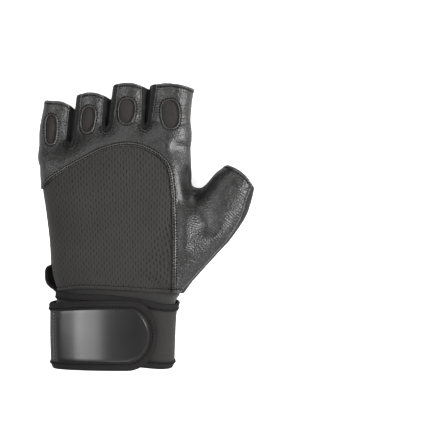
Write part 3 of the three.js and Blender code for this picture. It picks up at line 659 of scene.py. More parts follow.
def finish_material(name, group, settings, dark, light, roughness, swing, bump, relief_mm,
                    sheen=0.0, specular=0.5):
    """A material whose colour, roughness and bump come from one of the shared groups."""
    material = bpy.data.materials.new(name)
    material.use_nodes = True
    t = Tree(material.node_tree)
    material.node_tree.nodes.clear()
    made = t.node("ShaderNodeGroup", settings, node_tree=group)
    shade, gloss, height = made.outputs
    colour = t.node("ShaderNodeMix", {"Factor": shade, 6: (*dark, 1), 7: (*light, 1)}, data_type="RGBA")
    swung = {0: gloss, 1: swing, 2: roughness}
    rough = t.node("ShaderNodeMath", swung, operation="MULTIPLY_ADD", use_clamp=True)
    raised = t.node("ShaderNodeBump", {"Height": height, "Strength": bump, "Distance": relief_mm * MM})
    shader = t.node("ShaderNodeBsdfPrincipled", {
        "Base Color": colour.outputs[2], "Roughness": rough.outputs[0], "Normal": raised.outputs[0],
        "Sheen Weight": sheen, "Sheen Roughness": 0.5, "Specular IOR Level": specular,
    })
    t.node("ShaderNodeOutputMaterial", {"Surface": shader.outputs[0]})
    return material


LEATHER = finish_material(
    "Black goatskin", LEATHER_GRAIN, {"Cell size mm": 1.35, "Crease": 0.6, "Patchiness": 0.3},
    dark=(0.003, 0.0028, 0.0027), light=(0.05, 0.047, 0.045),
    roughness=0.42, swing=0.14, bump=0.5, relief_mm=0.28,
)


def set_up(piece, slot, *nodes):
    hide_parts(*nodes)
    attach(piece, "root")


# Fabric fourchettes and the knit tips take their places in the leather, so their outlines come first.
CROTCH_DEPTH = 3.0
CROTCH_SEARCH = 30.0  # back from the mouths, where the palm's front is read
FOURCHETTE_AHEAD = 16.0  # how far the outline runs on past the mouths
FAR = 400.0  # past the edge of everything
FOURCHETTES = [
    dict(ulnar="little", radial="ring", mouth=0.26, crotch=0.27),
    dict(ulnar="ring", radial="middle", mouth=0.32, crotch=0.26),
    dict(ulnar="middle", radial="index", mouth=0.32, crotch=0.19),
]


def stall_named(name):
    return next(s for s in STALLS if s["name"] == name)


def fourchette_outline(row):
    ulnar, radial = stall_named(row["ulnar"]), stall_named(row["radial"])
    size = (ulnar["width"] + radial["width"]) / 2

    def edge(stall, side, y):
        return stall["root"][0] + stall["lean"] * (y - stall["root"][1]) + side * stall["width"] / 2

    def middle(y):
        return (edge(ulnar, 1, y) + edge(radial, -1, y)) / 2

    mouth_y = (ulnar["mouth_at"][1] + radial["mouth_at"][1]) / 2
    crotch_y = float(palm_front(middle(mouth_y - CROTCH_SEARCH)))

    def half(y):
        share = (y - crotch_y) / (mouth_y - crotch_y)
        return (row["crotch"] + (row["mouth"] - row["crotch"]) * share) * size / 2

    radius = half(crotch_y)
    round_end = []
    for angle in np.linspace(math.pi, 2 * math.pi, 13):
        y = crotch_y - CROTCH_DEPTH + radius * (1 + math.sin(angle))
        round_end.append((middle(y) + radius * math.cos(angle), y))
    top = mouth_y + FOURCHETTE_AHEAD
    return [(middle(top) - half(top), top), *round_end, (middle(top) + half(top), top)]


FOURCHETTE_OUTLINES = {f"fourchette_{r['ulnar']}_{r['radial']}": fourchette_outline(r) for r in FOURCHETTES}
FOURCHETTE_DISTANCE = {name: outline_distance(o) for name, o in FOURCHETTE_OUTLINES.items()}
BESIDE_FOURCHETTES = np.minimum.reduce(list(FOURCHETTE_DISTANCE.values()))


def thumb_point(back, aside):
    return np.array(THUMB_MOUTH) - THUMB_RUN * (back * THUMB_LENGTH) + THUMB_ACROSS * aside


def thumb_side(back, column):
    return float(table_value(THUMB_SECTIONS, "back", column, back)) * THUMB_WIDTH


GUSSET_FROM, GUSSET_TO, GUSSET_PITCH = -0.2, 1.25, 0.035  # shares of the thumb's length, back from its mouth
GUSSET_LINE = [
    thumb_point(b, thumb_side(b, "outer") - thumb_side(b, "gusset"))
    for b in np.arange(GUSSET_FROM, GUSSET_TO, GUSSET_PITCH)
]
GUSSET_OUTLINE = [*GUSSET_LINE, thumb_point(GUSSET_TO, FAR), thumb_point(GUSSET_FROM, FAR)]
GUSSET_DISTANCE = outline_distance(GUSSET_OUTLINE)

KNIT_TIPS = [dict(finger="ring", length=16.5), dict(finger="middle", length=15.5)]
TIP_AHEAD = 8.0  # how far the outline runs on past the mouth


def tip_outline(tip):
    s = stall_named(tip["finger"])
    across = np.array([s["run"][1], -s["run"][0]])
    half = (s["width"] + FINGER_GAP) / 2
    corners = [(-half, -tip["length"]), (half, -tip["length"]), (half, TIP_AHEAD), (-half, TIP_AHEAD)]
    return [s["mouth_at"] + across * a + s["run"] * r for a, r in corners]


TIP_DISTANCE = {t["finger"]: outline_distance(tip_outline(t)) for t in KNIT_TIPS}
BESIDE_TIPS = np.minimum.reduce(list(TIP_DISTANCE.values()))

SEAM_GAP = 0.3
UNDER_SEAM = GZ - (SEAM_Z - SEAM_GAP / 2)
OVER_SEAM = (SEAM_Z + SEAM_GAP / 2) - GZ
SEAM_ROUND = 0.6
FLOOR_CUT = -GZ
INSIDE_MOUTHS = -PAST_MOUTHS
NO_SEAM = 9.0

# The hem dips at both sides: rows across the hand, and how far the hem lies above its middle line.
HEM_COURSE = [
    dict(across=-44.0, rise=-1.8),
    dict(across=-38.0, rise=-1.0),
    dict(across=-24.0, rise=0.7),
    dict(across=5.0, rise=-0.2),
    dict(across=25.0, rise=-1.5),
    dict(across=47.0, rise=-2.7),
]
PAST_HEM = PY - (HEM_Y + table_value(HEM_COURSE, "across", "rise", PX))
AHEAD_OF_HEM = -PAST_HEM


def seam_notes(*edges):
    """Notes for the leather. Its stitches lie where seam is 1, and at 2 if there are two rows.

    Each edge gives its place, the spacing of its rows, their number and how much they draw the leather up.
    """
    seam, run, count, pucker = (np.full(PX.shape, value) for value in (NO_SEAM, 0.0, 1.0, 0.0))
    for (distance, place), spacing, rows, drawn in edges:
        value = np.maximum(distance, 0) / spacing
        nearer = value < seam
        run, count = np.where(nearer, place, run), np.where(nearer, rows, count)
        pucker = np.where(nearer, drawn, pucker)
        seam = np.minimum(seam, value)
    return {"seam": seam, "run": run, "rows": count, "pucker": pucker}


def lapped(body):
    """Cuts a lower piece along the side seam, and leaves a lap inside that the upper piece is sewn over."""
    lap = np.maximum(GZ - (SEAM_Z + LAP_RISE), HAND + LAP_TOP)
    return smooth_max(body, np.minimum(UNDER_SEAM, lap), WALL_ROUND)


MOUTH_PLACE = [outline_place(mouth_outline(m)) for m in MOUTHS]
MOUTH_ROW, EDGE_ROW, HEM_ROW = 2.4, 1.5, 2.6
HEM_PLACE = (PAST_HEM, PX - PX.min())
FOURCHETTE_PLACE = {name: outline_place(o) for name, o in FOURCHETTE_OUTLINES.items()}
BESIDE_PALM_FABRIC = np.minimum.reduce([BESIDE_FOURCHETTES, GUSSET_DISTANCE, BESIDE_TIPS])
palm_notes = seam_notes(
    *[(place, MOUTH_ROW, 1, 0.2) for place in MOUTH_PLACE],
    *[(place, EDGE_ROW, 1, 0.3) for place in FOURCHETTE_PLACE.values()],
    (outline_place(GUSSET_OUTLINE), EDGE_ROW, 1, 0.6),
    *[(outline_place(tip_outline(tip)), EDGE_ROW, 1, 0.6) for tip in KNIT_TIPS],
    (HEM_PLACE, HEM_ROW, 1, 0.6),
)
ROLLED_EDGE = (1.3, 0.9, 0.25)  # the rise of an edge that is turned in: its place, width and height
palm_relief = (
    bump_along(PAST_MOUTHS, *ROLLED_EDGE)
    + bump_along(BESIDE_PALM_FABRIC, 0.8, 0.7, 0.25)
    + bump_along(PAST_HEM, *ROLLED_EDGE)
)
lap_depth = (LAP_DEPTH - LEATHER_DEPTH) * eased(GZ, SEAM_Z - 5.0, SEAM_Z - 3.0)
palm_field = wall_field(
    palm_relief, leather_depth(BESIDE_PALM_FABRIC)[..., None] + lap_depth, INSIDE_MOUTHS, AHEAD_OF_HEM,
    SEAM_GAP - BESIDE_PALM_FABRIC, edge_round=0.7,
)
palm_field = smooth_max(lapped(palm_field), FLOOR_CUT, 0.2)
palm_leather = form_piece("palm_leather_piece", palm_field, LEATHER, palm_notes)
set_up(palm_leather, "leather", "palm_leather")


# Back yoke
# The same goatskin on the back: over the knuckles and the stalls, down the index finger's side and over the
# thumb. Its edge is folded and sewn over the mesh with two rows of thread. An oval is cut over each knuckle.

VENTS = [
    dict(finger="little", width=6.4, length=18.4, below=19.2, aside=-3.6, turn=-2),
    dict(finger="ring", width=7.8, length=16.2, below=18.2, aside=-1.7, turn=-8),
    dict(finger="middle", width=9.6, length=15.4, below=19.0, aside=-0.4, turn=-5),
    dict(finger="index", width=10.8, length=17.6, below=20.8, aside=1.0, turn=5),
]
MESH_EDGE = [
    (-0.62, 0.53), (-0.5, 0.608), (-0.42, 0.68), (-0.25, 0.776), (-0.05, 0.866), (0.11, 0.886), (0.24, 0.843),
    (0.33, 0.769), (0.36, 0.648), (0.374, 0.37), (0.372, 0.0), (0.37, -0.1),
]
VENT_SQUARENESS = 0.78
VENT_TAPER = 0.07
MESH_LINE = smooth_line(in_plan(MESH_EDGE), 90)
MESH_PLACE = outline_place([*MESH_LINE, (-FAR, HEM_Y - 0.1 * PALM_LENGTH)])
MESH_DISTANCE = MESH_PLACE[0]


def vent_outline(vent, grow=0.0, steps=40):
    """A window with full sides, a little wider towards the fingertip."""
    s = stall_named(vent["finger"])
    x = s["mouth_at"][0] - s["lean"] * vent["below"] + vent["aside"]
    y = s["mouth_at"][1] - vent["below"]
    turn = math.radians(vent["turn"])
    found = []
    for a in np.linspace(0, 2 * math.pi, steps, endpoint=False):
        c, d = math.cos(a), math.sin(a)
        u = math.copysign(abs(c) ** VENT_SQUARENESS, c) * (1 + VENT_TAPER * d) * (vent["width"] / 2 + grow)
        v = math.copysign(abs(d) ** VENT_SQUARENESS, d) * (vent["length"] / 2 + grow)
        aside, ahead = u * math.cos(turn) - v * math.sin(turn), u * math.sin(turn) + v * math.cos(turn)
        found.append((x + aside, y + ahead))
    return found


VENT_PLACE = {v["finger"]: outline_place(vent_outline(v)) for v in VENTS}
BESIDE_VENTS = np.minimum.reduce([distance for distance, _ in VENT_PLACE.values()])
MESH_ROW = 1.5
VENT_ROW = 1.9
GUSSET_ROW = 1.6
BESIDE_YOKE_FABRIC = np.minimum.reduce([BESIDE_FOURCHETTES, GUSSET_DISTANCE, MESH_DISTANCE, BESIDE_VENTS])

yoke_notes = seam_notes(
    *[(place, MOUTH_ROW, 1, 0.15) for place in MOUTH_PLACE],
    *[(place, EDGE_ROW, 1, 0.15) for place in FOURCHETTE_PLACE.values()],
    *[(place, VENT_ROW, 1, 0.35) for place in VENT_PLACE.values()],
    (outline_place(GUSSET_OUTLINE), GUSSET_ROW, 1, 0.9),
    (MESH_PLACE, MESH_ROW, 2, 0.8),
    (HEM_PLACE, HEM_ROW, 1, 0.5),
)

# Short creases cross the fingers above the vents and the knuckles below them, and run down the thumb's side.
# way: the direction in plan that they follow each other in.
WRINKLES = [
    dict(line=[(41, 96), (33, 97)], reach=5.0, weight=0.8, way=(0.1, 1.0)),
    dict(line=[(14, 96), (4, 96)], reach=4.0, weight=0.35, way=(0.1, 1.0)),
    dict(line=[(-38, 72), (-18, 77), (8, 82), (40, 80)], reach=6.0, weight=0.5, way=(-0.1, 1.0)),
    dict(line=[(67, 0), (76, 12), (84, 24)], reach=6.5, weight=0.7, way=(0.64, 0.77)),
    dict(line=[(52, -32), (50, -10), (53, 4)], reach=5.0, weight=0.35, way=(0.2, 1.0)),
]
worn, course = np.zeros(PX.shape), np.zeros(PX.shape)
for row in WRINKLES:
    here = bump_along(line_distance(row["line"]), 0, row["reach"], row["weight"])
    course = np.where(here > worn, PX * row["way"][0] + PY * row["way"][1], course)
    worn = np.maximum(worn, here)
yoke_notes |= {"wrinkles": worn, "course": course}
yoke_relief = (
    0.25
    + bump_along(PAST_MOUTHS, *ROLLED_EDGE)
    + bump_along(BESIDE_VENTS, 0.8, 0.6, 0.6)
    + bump_along(MESH_DISTANCE, 0.8, 0.7, 0.3)
    + bump_along(MESH_DISTANCE, 2.3, 0.8, 0.25)
    + bump_along(GUSSET_DISTANCE, 0.8, 0.7, 0.35)
    + bump_along(BESIDE_FOURCHETTES, 0.8, 0.7, 0.3)
)
yoke_field = wall_field(
    yoke_relief, leather_depth(BESIDE_YOKE_FABRIC), INSIDE_MOUTHS, AHEAD_OF_HEM,
    SEAM_GAP - BESIDE_YOKE_FABRIC, edge_round=0.7,
)
yoke_field = smooth_max(yoke_field, OVER_SEAM, SEAM_ROUND)
back_yoke = form_piece("back_yoke_piece", yoke_field, LEATHER, yoke_notes)
set_up(back_yoke, "leather", "back_yoke")


# Mesh back
# A stretch mesh with long open cells, caught under the yoke's folded edge and sewn into the hem.

def mesh_knit_group():
    """Columns of long cells, each column shifted by half a cell. The cells are holes or hollows, sunk in the
    bump and darkened in colour as painted shade.
    """
    t, given, spot = new_group("Mesh knit", "UV", "Column mm", "Cell mm", "Open share", "Patchiness")
    place = t.shifted(spot, 190.0, 3.0, (0.0018, 0.0022, 0.0))
    x, y, _ = t.node("ShaderNodeSeparateXYZ", {0: place}).outputs
    column = t.div(t.mul(x, 1000.0), given["Column mm"])
    odd = t.math("MODULO", t.abs(t.math("FLOOR", column)), 2.0)
    row = t.add(t.div(t.mul(y, 1000.0), given["Cell mm"]), t.mul(odd, 0.5))
    u = t.abs(t.sub(t.math("FRACT", column), 0.5))
    v = t.abs(t.sub(t.math("FRACT", row), 0.5))
    across = t.math("POWER", t.mul(u, 6.6), 2.0)
    along = t.math("POWER", t.mul(v, 2.4), 2.0)
    hole_and_shade = t.ramp(t.add(across, along), 0.2, 1.2, 1.0, 0.0)
    rib = t.cos(t.mul(column, 4 * math.pi))
    torn = t.noise(spot, 420.0, 1.0)
    hole_and_shade = t.mul(hole_and_shade, t.mul(given["Open share"], t.ramp(torn, 0.3, 0.6, 0.35, 1.0)))
    yarn = t.noise(spot, 1500.0, 2.0)
    patch = t.patches(t.noise(spot, 30.0, 4.0), given["Patchiness"])
    height = t.sub(t.mul(yarn, 0.25), hole_and_shade)
    shade = t.add(0.5, t.add(patch, t.mul(yarn, 0.3)))
    # The open cells darkened in colour: painted shade.
    shade = t.sub(t.add(shade, t.mul(rib, 0.14)), hole_and_shade)
    return t.put_out(shade, patch, height)


MESH_KNIT = mesh_knit_group()
MESH = finish_material(
    "Stretch mesh", MESH_KNIT, {"Column mm": 2.0, "Cell mm": 4.2, "Open share": 1.0, "Patchiness": 0.5},
    dark=(0.003, 0.0028, 0.0027), light=(0.035, 0.033, 0.032),
    roughness=0.85, swing=0.2, bump=0.6, relief_mm=0.4,
    sheen=0.1, specular=0.2,
)


def signed_power(value, power):
    return np.sign(value) * np.abs(value) ** power


def girth_map(points):
    """A map of the back that follows its girth across and the palm's length along."""
    fine = np.linspace(-math.pi / 2, math.pi, 721)
    c, d = np.cos(fine), np.sin(fine)
    x = KNUCKLE_WIDTH / 2 * signed_power(c, 2 / BACK_EXPONENT)
    z = PALM_HEIGHT * (1 - PALM_MIDDLE) * signed_power(d, 2 / BACK_EXPONENT)
    left, right, _, middle, high = palm_section(points[:, 1])
    across = (points[:, 0] - (left + right) / 2) / ((right - left) / 2)
    above = (points[:, 2] - middle) / (high - middle)
    angle = np.arctan2(signed_power(above, BACK_EXPONENT / 2), signed_power(across, BACK_EXPONENT / 2))
    run = np.interp(angle, fine, runs_along(np.stack([x, z], 1)))
    return np.stack([run, points[:, 1] - HEM_Y], 1) * MM


hem_fold = bump_along(PAST_HEM, 1.2, 0.9, 0.5) - bump_along(PAST_HEM, HEM_ROW, 0.6, 0.35)
mesh_field = wall_field(
    hem_fold - FABRIC_TOP, FABRIC_DEPTH, AHEAD_OF_HEM, MESH_DISTANCE - TUCK, edge_round=0.4
)
mesh_field = smooth_max(mesh_field, OVER_SEAM, SEAM_ROUND)
mesh_back = form_piece("mesh_back_piece", mesh_field, MESH, uv=girth_map)
set_up(mesh_back, "mesh", "mesh_back")


# Knuckle vents
# Ovals of a closer stretch mesh behind the windows over the knuckles, each sewn round its rim.

VENT_MESH = finish_material(
    "Vent mesh", MESH_KNIT, {"Column mm": 1.1, "Cell mm": 1.8, "Open share": 0.9, "Patchiness": 0.3},
    dark=(0.004, 0.0035, 0.0035), light=(0.03, 0.026, 0.025),
    roughness=0.85, swing=0.2, bump=0.5, relief_mm=0.3,
    sheen=0.1, specular=0.2,
)
VENT_SWELL, VENT_SWELL_REACH = 0.45, 3.0  # how far the mesh stands out, and how far in from the rim
for vent in VENTS:
    distance, _ = VENT_PLACE[vent["finger"]]
    swell = VENT_SWELL * eased(-distance, 0.0, VENT_SWELL_REACH)
    field = wall_field(swell - FABRIC_TOP, FABRIC_DEPTH, distance - TUCK * 0.7, edge_round=0.4)
    field = smooth_max(field, OVER_SEAM, SEAM_ROUND)
    piece = form_piece(f"vent_{vent['finger']}_piece", field, VENT_MESH, uv=lambda points: points[:, :2] * MM)
    set_up(piece, "mesh", f"vent_{vent['finger']}")


# Fourchettes, thumb gusset and knit tips
# Strips of four-way stretch knit between the stalls and along the thumb's outer side, and the knit ends
# under the ring and middle stalls. They lie a little lower than the turned leather edges beside them.


def knit_group():
    """Fine ribs of loops, turned by an angle in plan."""
    t, given, spot = new_group("Fine knit", "Object", "Rib mm", "Rib angle", "Patchiness")
    x, y, z = t.node("ShaderNodeSeparateXYZ", {0: spot}).outputs
    c, s = t.cos(given["Rib angle"]), t.sin(given["Rib angle"])
    turned = t.add(t.add(t.mul(x, c), t.mul(y, s)), t.mul(z, 0.6))
    along = t.sub(t.mul(y, c), t.mul(x, s))
    pitch = t.div(6283.0, given["Rib mm"])
    rib = t.abs(t.sin(t.mul(turned, pitch)))
    loop = t.abs(t.sin(t.mul(along, t.mul(pitch, 0.8))))
    yarn = t.noise(spot, 2200.0, 2.0)
    patch = t.patches(t.noise(spot, 40.0, 3.0), given["Patchiness"])
    height = t.add(t.mul(t.mul(rib, loop), 0.8), t.mul(yarn, 0.3))
    return t.put_out(t.add(t.mul(height, 0.6), patch), patch, height)


FINE_KNIT = knit_group()
STRETCH_FABRIC = finish_material(
    "Stretch knit", FINE_KNIT, {"Rib mm": 0.8, "Rib angle": 0.0, "Patchiness": 0.4},
    dark=(0.003, 0.0028, 0.0028), light=(0.04, 0.037, 0.037),
    roughness=0.85, swing=0.15, bump=0.5, relief_mm=0.2,
    sheen=0.05, specular=0.2,
)
KNIT = finish_material(
    "Knit tip", FINE_KNIT, {"Rib mm": 1.0, "Rib angle": 0.0, "Patchiness": 0.4},
    dark=(0.014, 0.013, 0.0125), light=(0.045, 0.042, 0.041),
    roughness=0.9, swing=0.15, bump=0.6, relief_mm=0.25,
    sheen=0.15, specular=0.2,
)
PRESSED_GAP = 2.5  # stalls closer than this press their fourchettes together
PRESSED_TOP = 14.0


def pressed_fill(row):
    """Where the fabric of two neighbouring stalls meets between them."""
    pair = [stall_distance(stall_named(row[key]), GX, GY, GZ) for key in ("ulnar", "radial")]
    near = np.maximum(pair[0][0] + pair[1][0] - PRESSED_GAP, HAND - PRESSED_GAP)
    return np.maximum(near, GZ - PRESSED_TOP)


for row in FOURCHETTES:
    name = f"fourchette_{row['ulnar']}_{row['radial']}"
    distance = FOURCHETTE_DISTANCE[name]
    ridge = bump_along(distance, -1.5, 0.6, 0.6)[..., None]
    shell = smooth_max(HAND + FABRIC_TOP - ridge, -(HAND + FABRIC_DEPTH), 0.3)
    body = smooth_min(shell, pressed_fill(row), 0.8)
    cut = np.maximum(INSIDE_MOUTHS, distance - TUCK)[..., None]
    piece = form_piece(name + "_piece", smooth_max(body, cut, 0.4), STRETCH_FABRIC)
    set_up(piece, "stretch_fabric", name)

gusset_field = wall_field(
    -FABRIC_TOP, FABRIC_DEPTH, INSIDE_MOUTHS, AHEAD_OF_HEM, GUSSET_DISTANCE - TUCK, edge_round=0.4
)
thumb_gusset = form_piece("thumb_gusset_piece", gusset_field, STRETCH_FABRIC)
set_up(thumb_gusset, "stretch_fabric", "thumb_gusset")

for tip in KNIT_TIPS:
    distance = TIP_DISTANCE[tip["finger"]]
    field = wall_field(0.3 - FABRIC_TOP, LEATHER_DEPTH + lap_depth, INSIDE_MOUTHS, distance - TUCK * 0.5,
                       SEAM_GAP - BESIDE_FOURCHETTES, edge_round=0.5)
    piece = form_piece(f"knit_tip_{tip['finger']}_piece", lapped(field), KNIT)
    set_up(piece, "stretch_fabric", f"knit_tip_{tip['finger']}")


# Palm pads
# Foam under leather, sewn down all round: a bar across the knuckles, a slim bar below it, a square pad in the
# middle, a long one on the heel and a curved one at the thumb. Each is crowned, and flat only where it rests.

PAD_RISE = 2.8
PAD_START = 0.3  # its rise at the rim
PAD_SHOULDER = 1.9  # how soon it rises from the rim
PAD_STITCHES = (1.6, 0.6, 0.25)  # the groove of its stitches: its place inside the rim, its width and depth
PAD_GAP = 1.2
PADS = [
    dict(name="pad_knuckle", corners=[
        (-0.4, 0.84), (0.02, 0.85), (0.4, 0.856), (0.455, 0.84), (0.455, 0.775), (0.42, 0.754), (0.02, 0.751),
        (-0.36, 0.751), (-0.42, 0.78)]),
    dict(name="pad_grip", corners=[
        (-0.36, 0.724), (0.0, 0.724), (0.3, 0.72), (0.32, 0.7), (0.28, 0.672), (0.0, 0.667), (-0.36, 0.667),
        (-0.39, 0.695)]),
    dict(name="pad_centre", corners=[
        (-0.43, 0.62), (-0.1, 0.633), (0.24, 0.63), (0.215, 0.56), (0.18, 0.44), (0.168, 0.245),
        (-0.1, 0.262), (-0.37, 0.25), (-0.42, 0.34), (-0.44, 0.5)]),
    dict(name="pad_heel", corners=[
        (-0.4, 0.178), (-0.15, 0.188), (0.08, 0.15), (0.22, 0.08), (0.235, 0.02), (0.0, -0.005), (-0.33, 0.0),
        (-0.41, 0.06)]),
    dict(name="pad_thumb", corners=[
        (0.44, 0.55), (0.54, 0.585), (0.66, 0.56), (0.76, 0.49), (0.86, 0.36), (0.6, 0.1), (0.44, 0.1),
        (0.36, 0.22), (0.33, 0.36), (0.36, 0.47)]),
]
PAD_LEATHER = finish_material(
    "Pad leather", LEATHER_GRAIN, {"Cell size mm": 1.4, "Crease": 0.6, "Patchiness": 0.6},
    dark=(0.006, 0.0057, 0.0055), light=(0.055, 0.052, 0.05),
    roughness=0.4, swing=0.3, bump=0.75, relief_mm=0.34,
)
pad_room = np.maximum.reduce([AHEAD_OF_HEM, INSIDE_MOUTHS, SEAM_GAP - GUSSET_DISTANCE])
for pad in PADS:
    outline = smooth_line(in_plan(pad["corners"]), 60, closed=True)
    distance = outline_distance(outline)
    inside = np.clip(-distance, 0, None)
    relief = PAD_START + (PAD_RISE - PAD_START) * (1 - np.exp(-inside / PAD_SHOULDER))
    relief = relief - bump_along(inside, *PAD_STITCHES)
    field = smooth_max(HAND - relief[..., None], -(HAND - SEAM_GAP), 0.3)
    field = smooth_max(field, np.maximum(distance, pad_room)[..., None], 0.8)
    field = smooth_max(smooth_max(field, UNDER_SEAM, 0.8), FLOOR_CUT, 0.6)
    piece = form_piece(pad["name"] + "_piece", field, PAD_LEATHER)
    set_up(piece, "pad_leather", pad["name"])
    pad_room = np.maximum(pad_room, PAD_GAP - distance)
    pad["outline"] = outline


# Cuff sleeve
# Neoprene faced with knit on both sides, sewn under the hem of the palm and the back. Its open end is cut.

CUFF_END = -91.0
CUFF_WIDTH = 75.0
CUFF_HEIGHT = 31.4
CUFF_SHIFT = 0.4
NEOPRENE = 2.0
STRAP_THICKNESS = 2.4
BINDING_THICKNESS = 0.7
BINDING_WIDTH = 4.7
TAPE_LOW = STRAP_THICKNESS + SEAM_GAP
TAPE_HIGH = TAPE_LOW + BINDING_THICKNESS
SLEEVE_EDGE = 0.9  # radius of the sleeve's cut edge
HEM_SINK, SINK_FROM, SINK_TO = 0.7, -4.5, -1.5  # the sleeve is drawn in by its seam at the hem
SLEEVE_TUCK = 5.0  # how far the sleeve runs on under the hem that it is sewn to
CUFF_SECTIONS = [
    dict(along=0.0, ulnar=-0.5, radial=0.595, height=1.06),
    dict(along=0.14, ulnar=-0.5, radial=0.53, height=1.03),
    dict(along=0.26, ulnar=-0.5, radial=0.505, height=1.0),
    dict(along=0.6, ulnar=-0.5, radial=0.49, height=1.0),
    dict(along=1.0, ulnar=-0.492, radial=0.482, height=1.0),
]


def cuff_points(angle, y, outside):
    """Points of the cuff at angles and places along it, a distance outside its outer face."""
    angle, y, outside = np.broadcast_arrays(angle, y, np.asarray(outside, float))
    top = HEM_Y - SEAM_GAP
    share = np.clip((top - y) / (top - CUFF_END), 0, 1)
    left, right, tall = table_values(CUFF_SECTIONS, "along", "ulnar radial height", share)
    left, right = left * CUFF_WIDTH, right * CUFF_WIDTH
    half = (right - left) / 2 + outside
    height = tall * CUFF_HEIGHT / 2 + outside
    c, s = np.cos(angle), np.sin(angle)
    power = 2 / np.where(s >= 0, BACK_EXPONENT, REST_EXPONENT)
    x, z = half * signed_power(c, power), height * signed_power(s, power)
    middle = TAPE_HIGH + SEAM_GAP + CUFF_HEIGHT / 2
    return np.stack([CUFF_SHIFT + (left + right) / 2 + x, y, middle + z], -1)


GIRTH_Y = -70.0  # where the girth is measured


def even_angles(steps):
    """Angles that divide the cuff's girth evenly."""
    fine = np.linspace(0, 2 * math.pi, 4001)
    ring = cuff_points(fine, GIRTH_Y, 0.0)
    run = runs_along(ring)
    return np.interp(np.linspace(0, run[-1], steps, endpoint=False), run, fine)


def rounded_profile(width, thickness, radius, steps, spans):
    """A closed rounded rectangle of (along width, across thickness) points, centred on nought."""
    half_w, half_t = width / 2 - radius, thickness / 2 - radius
    corners = [(half_w, half_t, 0), (-half_w, half_t, 1), (-half_w, -half_t, 2), (half_w, -half_t, 3)]
    found = []
    for i, (a, b, quarter) in enumerate(corners):
        for k in range(steps + 1):
            angle = math.pi / 2 * (quarter + k / steps)
            found.append((a + radius * math.cos(angle), b + radius * math.sin(angle)))
        na, nb, next_quarter = corners[(i + 1) % 4]
        turn = math.pi / 2 * next_quarter
        end = (na + radius * math.cos(turn), nb + radius * math.sin(turn))
        start = found[-1]
        count = spans[i % 2]
        for k in range(1, count):
            share = k / count
            found.append((start[0] + (end[0] - start[0]) * share, start[1] + (end[1] - start[1]) * share))
    return np.array(found)


def swept(rings, closed):
    """Quads between rings of points. An open sweep is closed by a fan at each end."""
    rings = np.asarray(rings)
    count, around = rings.shape[:2]
    faces = []
    for r in range(count if closed else count - 1):
        a, b = r * around, (r + 1) % count * around
        faces += [(a + i, a + (i + 1) % around, b + (i + 1) % around, b + i) for i in range(around)]
    points = rings.reshape(-1, 3)
    if not closed:
        for first, way in ((0, -1), ((count - 1) * around, 1)):
            centre = len(points)
            points = np.vstack([points, points[first : first + around].mean(0)])
            faces += [(first + i, first + (i + 1) % around, centre)[::way] for i in range(around)]
    return points, faces


def face_outwards(piece):
    """Turns a closed mesh's faces outwards by the sign of its volume."""
    mesh = piece.data
    mesh.calc_loop_triangles()
    v = np.empty(len(mesh.vertices) * 3)
    mesh.vertices.foreach_get("co", v)
    t = np.empty(len(mesh.loop_triangles) * 3, int)
    mesh.loop_triangles.foreach_get("vertices", t)
    a, b, c = (v.reshape(-1, 3)[t.reshape(-1, 3)[:, k]] for k in range(3))
    if np.einsum("ij,ij->i", a, np.cross(b, c)).sum() < 0:
        mesh.flip_normals()
    return piece


NEOPRENE_CLOTH = finish_material(
    "Neoprene", FINE_KNIT, {"Rib mm": 0.6, "Rib angle": 0.4, "Patchiness": 0.5},
    dark=(0.009, 0.0085, 0.008), light=(0.028, 0.026, 0.0255),
    roughness=0.85, swing=0.15, bump=0.7, relief_mm=0.25,
    sheen=0.2, specular=0.25,
)
sleeve_angles = even_angles(180)
sleeve_start = HEM_Y + SLEEVE_TUCK
sleeve_profile = rounded_profile(sleeve_start - CUFF_END, NEOPRENE, SLEEVE_EDGE, 4, (28, 2))
sleeve_y = (sleeve_start + CUFF_END) / 2 + sleeve_profile[:, 0]
sleeve_outside = sleeve_profile[:, 1] - NEOPRENE / 2
sleeve_outside = sleeve_outside - HEM_SINK * eased(sleeve_y, HEM_Y + SINK_FROM, HEM_Y + SINK_TO)
sleeve_rings = [cuff_points(np.full(len(sleeve_y), a), sleeve_y, sleeve_outside) for a in sleeve_angles]
cuff_sleeve = face_outwards(make_mesh("cuff_sleeve_piece", *swept(sleeve_rings, True), NEOPRENE_CLOTH))
set_up(cuff_sleeve, "neoprene", "cuff_sleeve")


# Wrist strap
# A long elastic strap faced with brushed loop fabric. It starts on the little finger's side, crosses the
# back, passes under the palm, climbs over its own start and ends in a rounded tab on the back.

STRAP_WIDTH = 45.0
STRAP_MIDDLE_Y = -70.8
STRAP_END_X = 27.6
END_ROUND = 0.88  # length of the rounding as a share of the half width
STRAP_EDGE = 0.9  # radius of its edge
STRAP_PITCH = 1.6  # of its rings of points
EDGE_LEAN = 1.8  # how far the lower edge curls in at the sides of the wrist
LEAN_BAND = (0.78, 1.04)  # where it curls, as shares of the strap's half width
LAYER_GAP = 0.9
START_ANGLE = math.radians(176)
CLIMB_FROM = math.radians(-125)
CLIMB_TO = math.radians(-172)
LAST_QUARTER = math.radians(-225)  # the strap ends after this
STRAP_COURSE = [
    dict(share=0.0, rise=0.16, width=1.0, lean=0.0),
    dict(share=0.07, rise=0.115, width=1.0, lean=0.0),
    dict(share=0.14, rise=0.095, width=1.0, lean=0.0),
    dict(share=0.2, rise=0.06, width=0.98, lean=0.0),
    dict(share=0.3, rise=-0.01, width=0.93, lean=1.0),
    dict(share=0.5, rise=0.14, width=1.0, lean=1.0),
    dict(share=0.7, rise=0.01, width=0.94, lean=1.0),
    dict(share=0.85, rise=0.012, width=1.0, lean=0.3),
    dict(share=1.0, rise=0.01, width=1.0, lean=0.0),
]


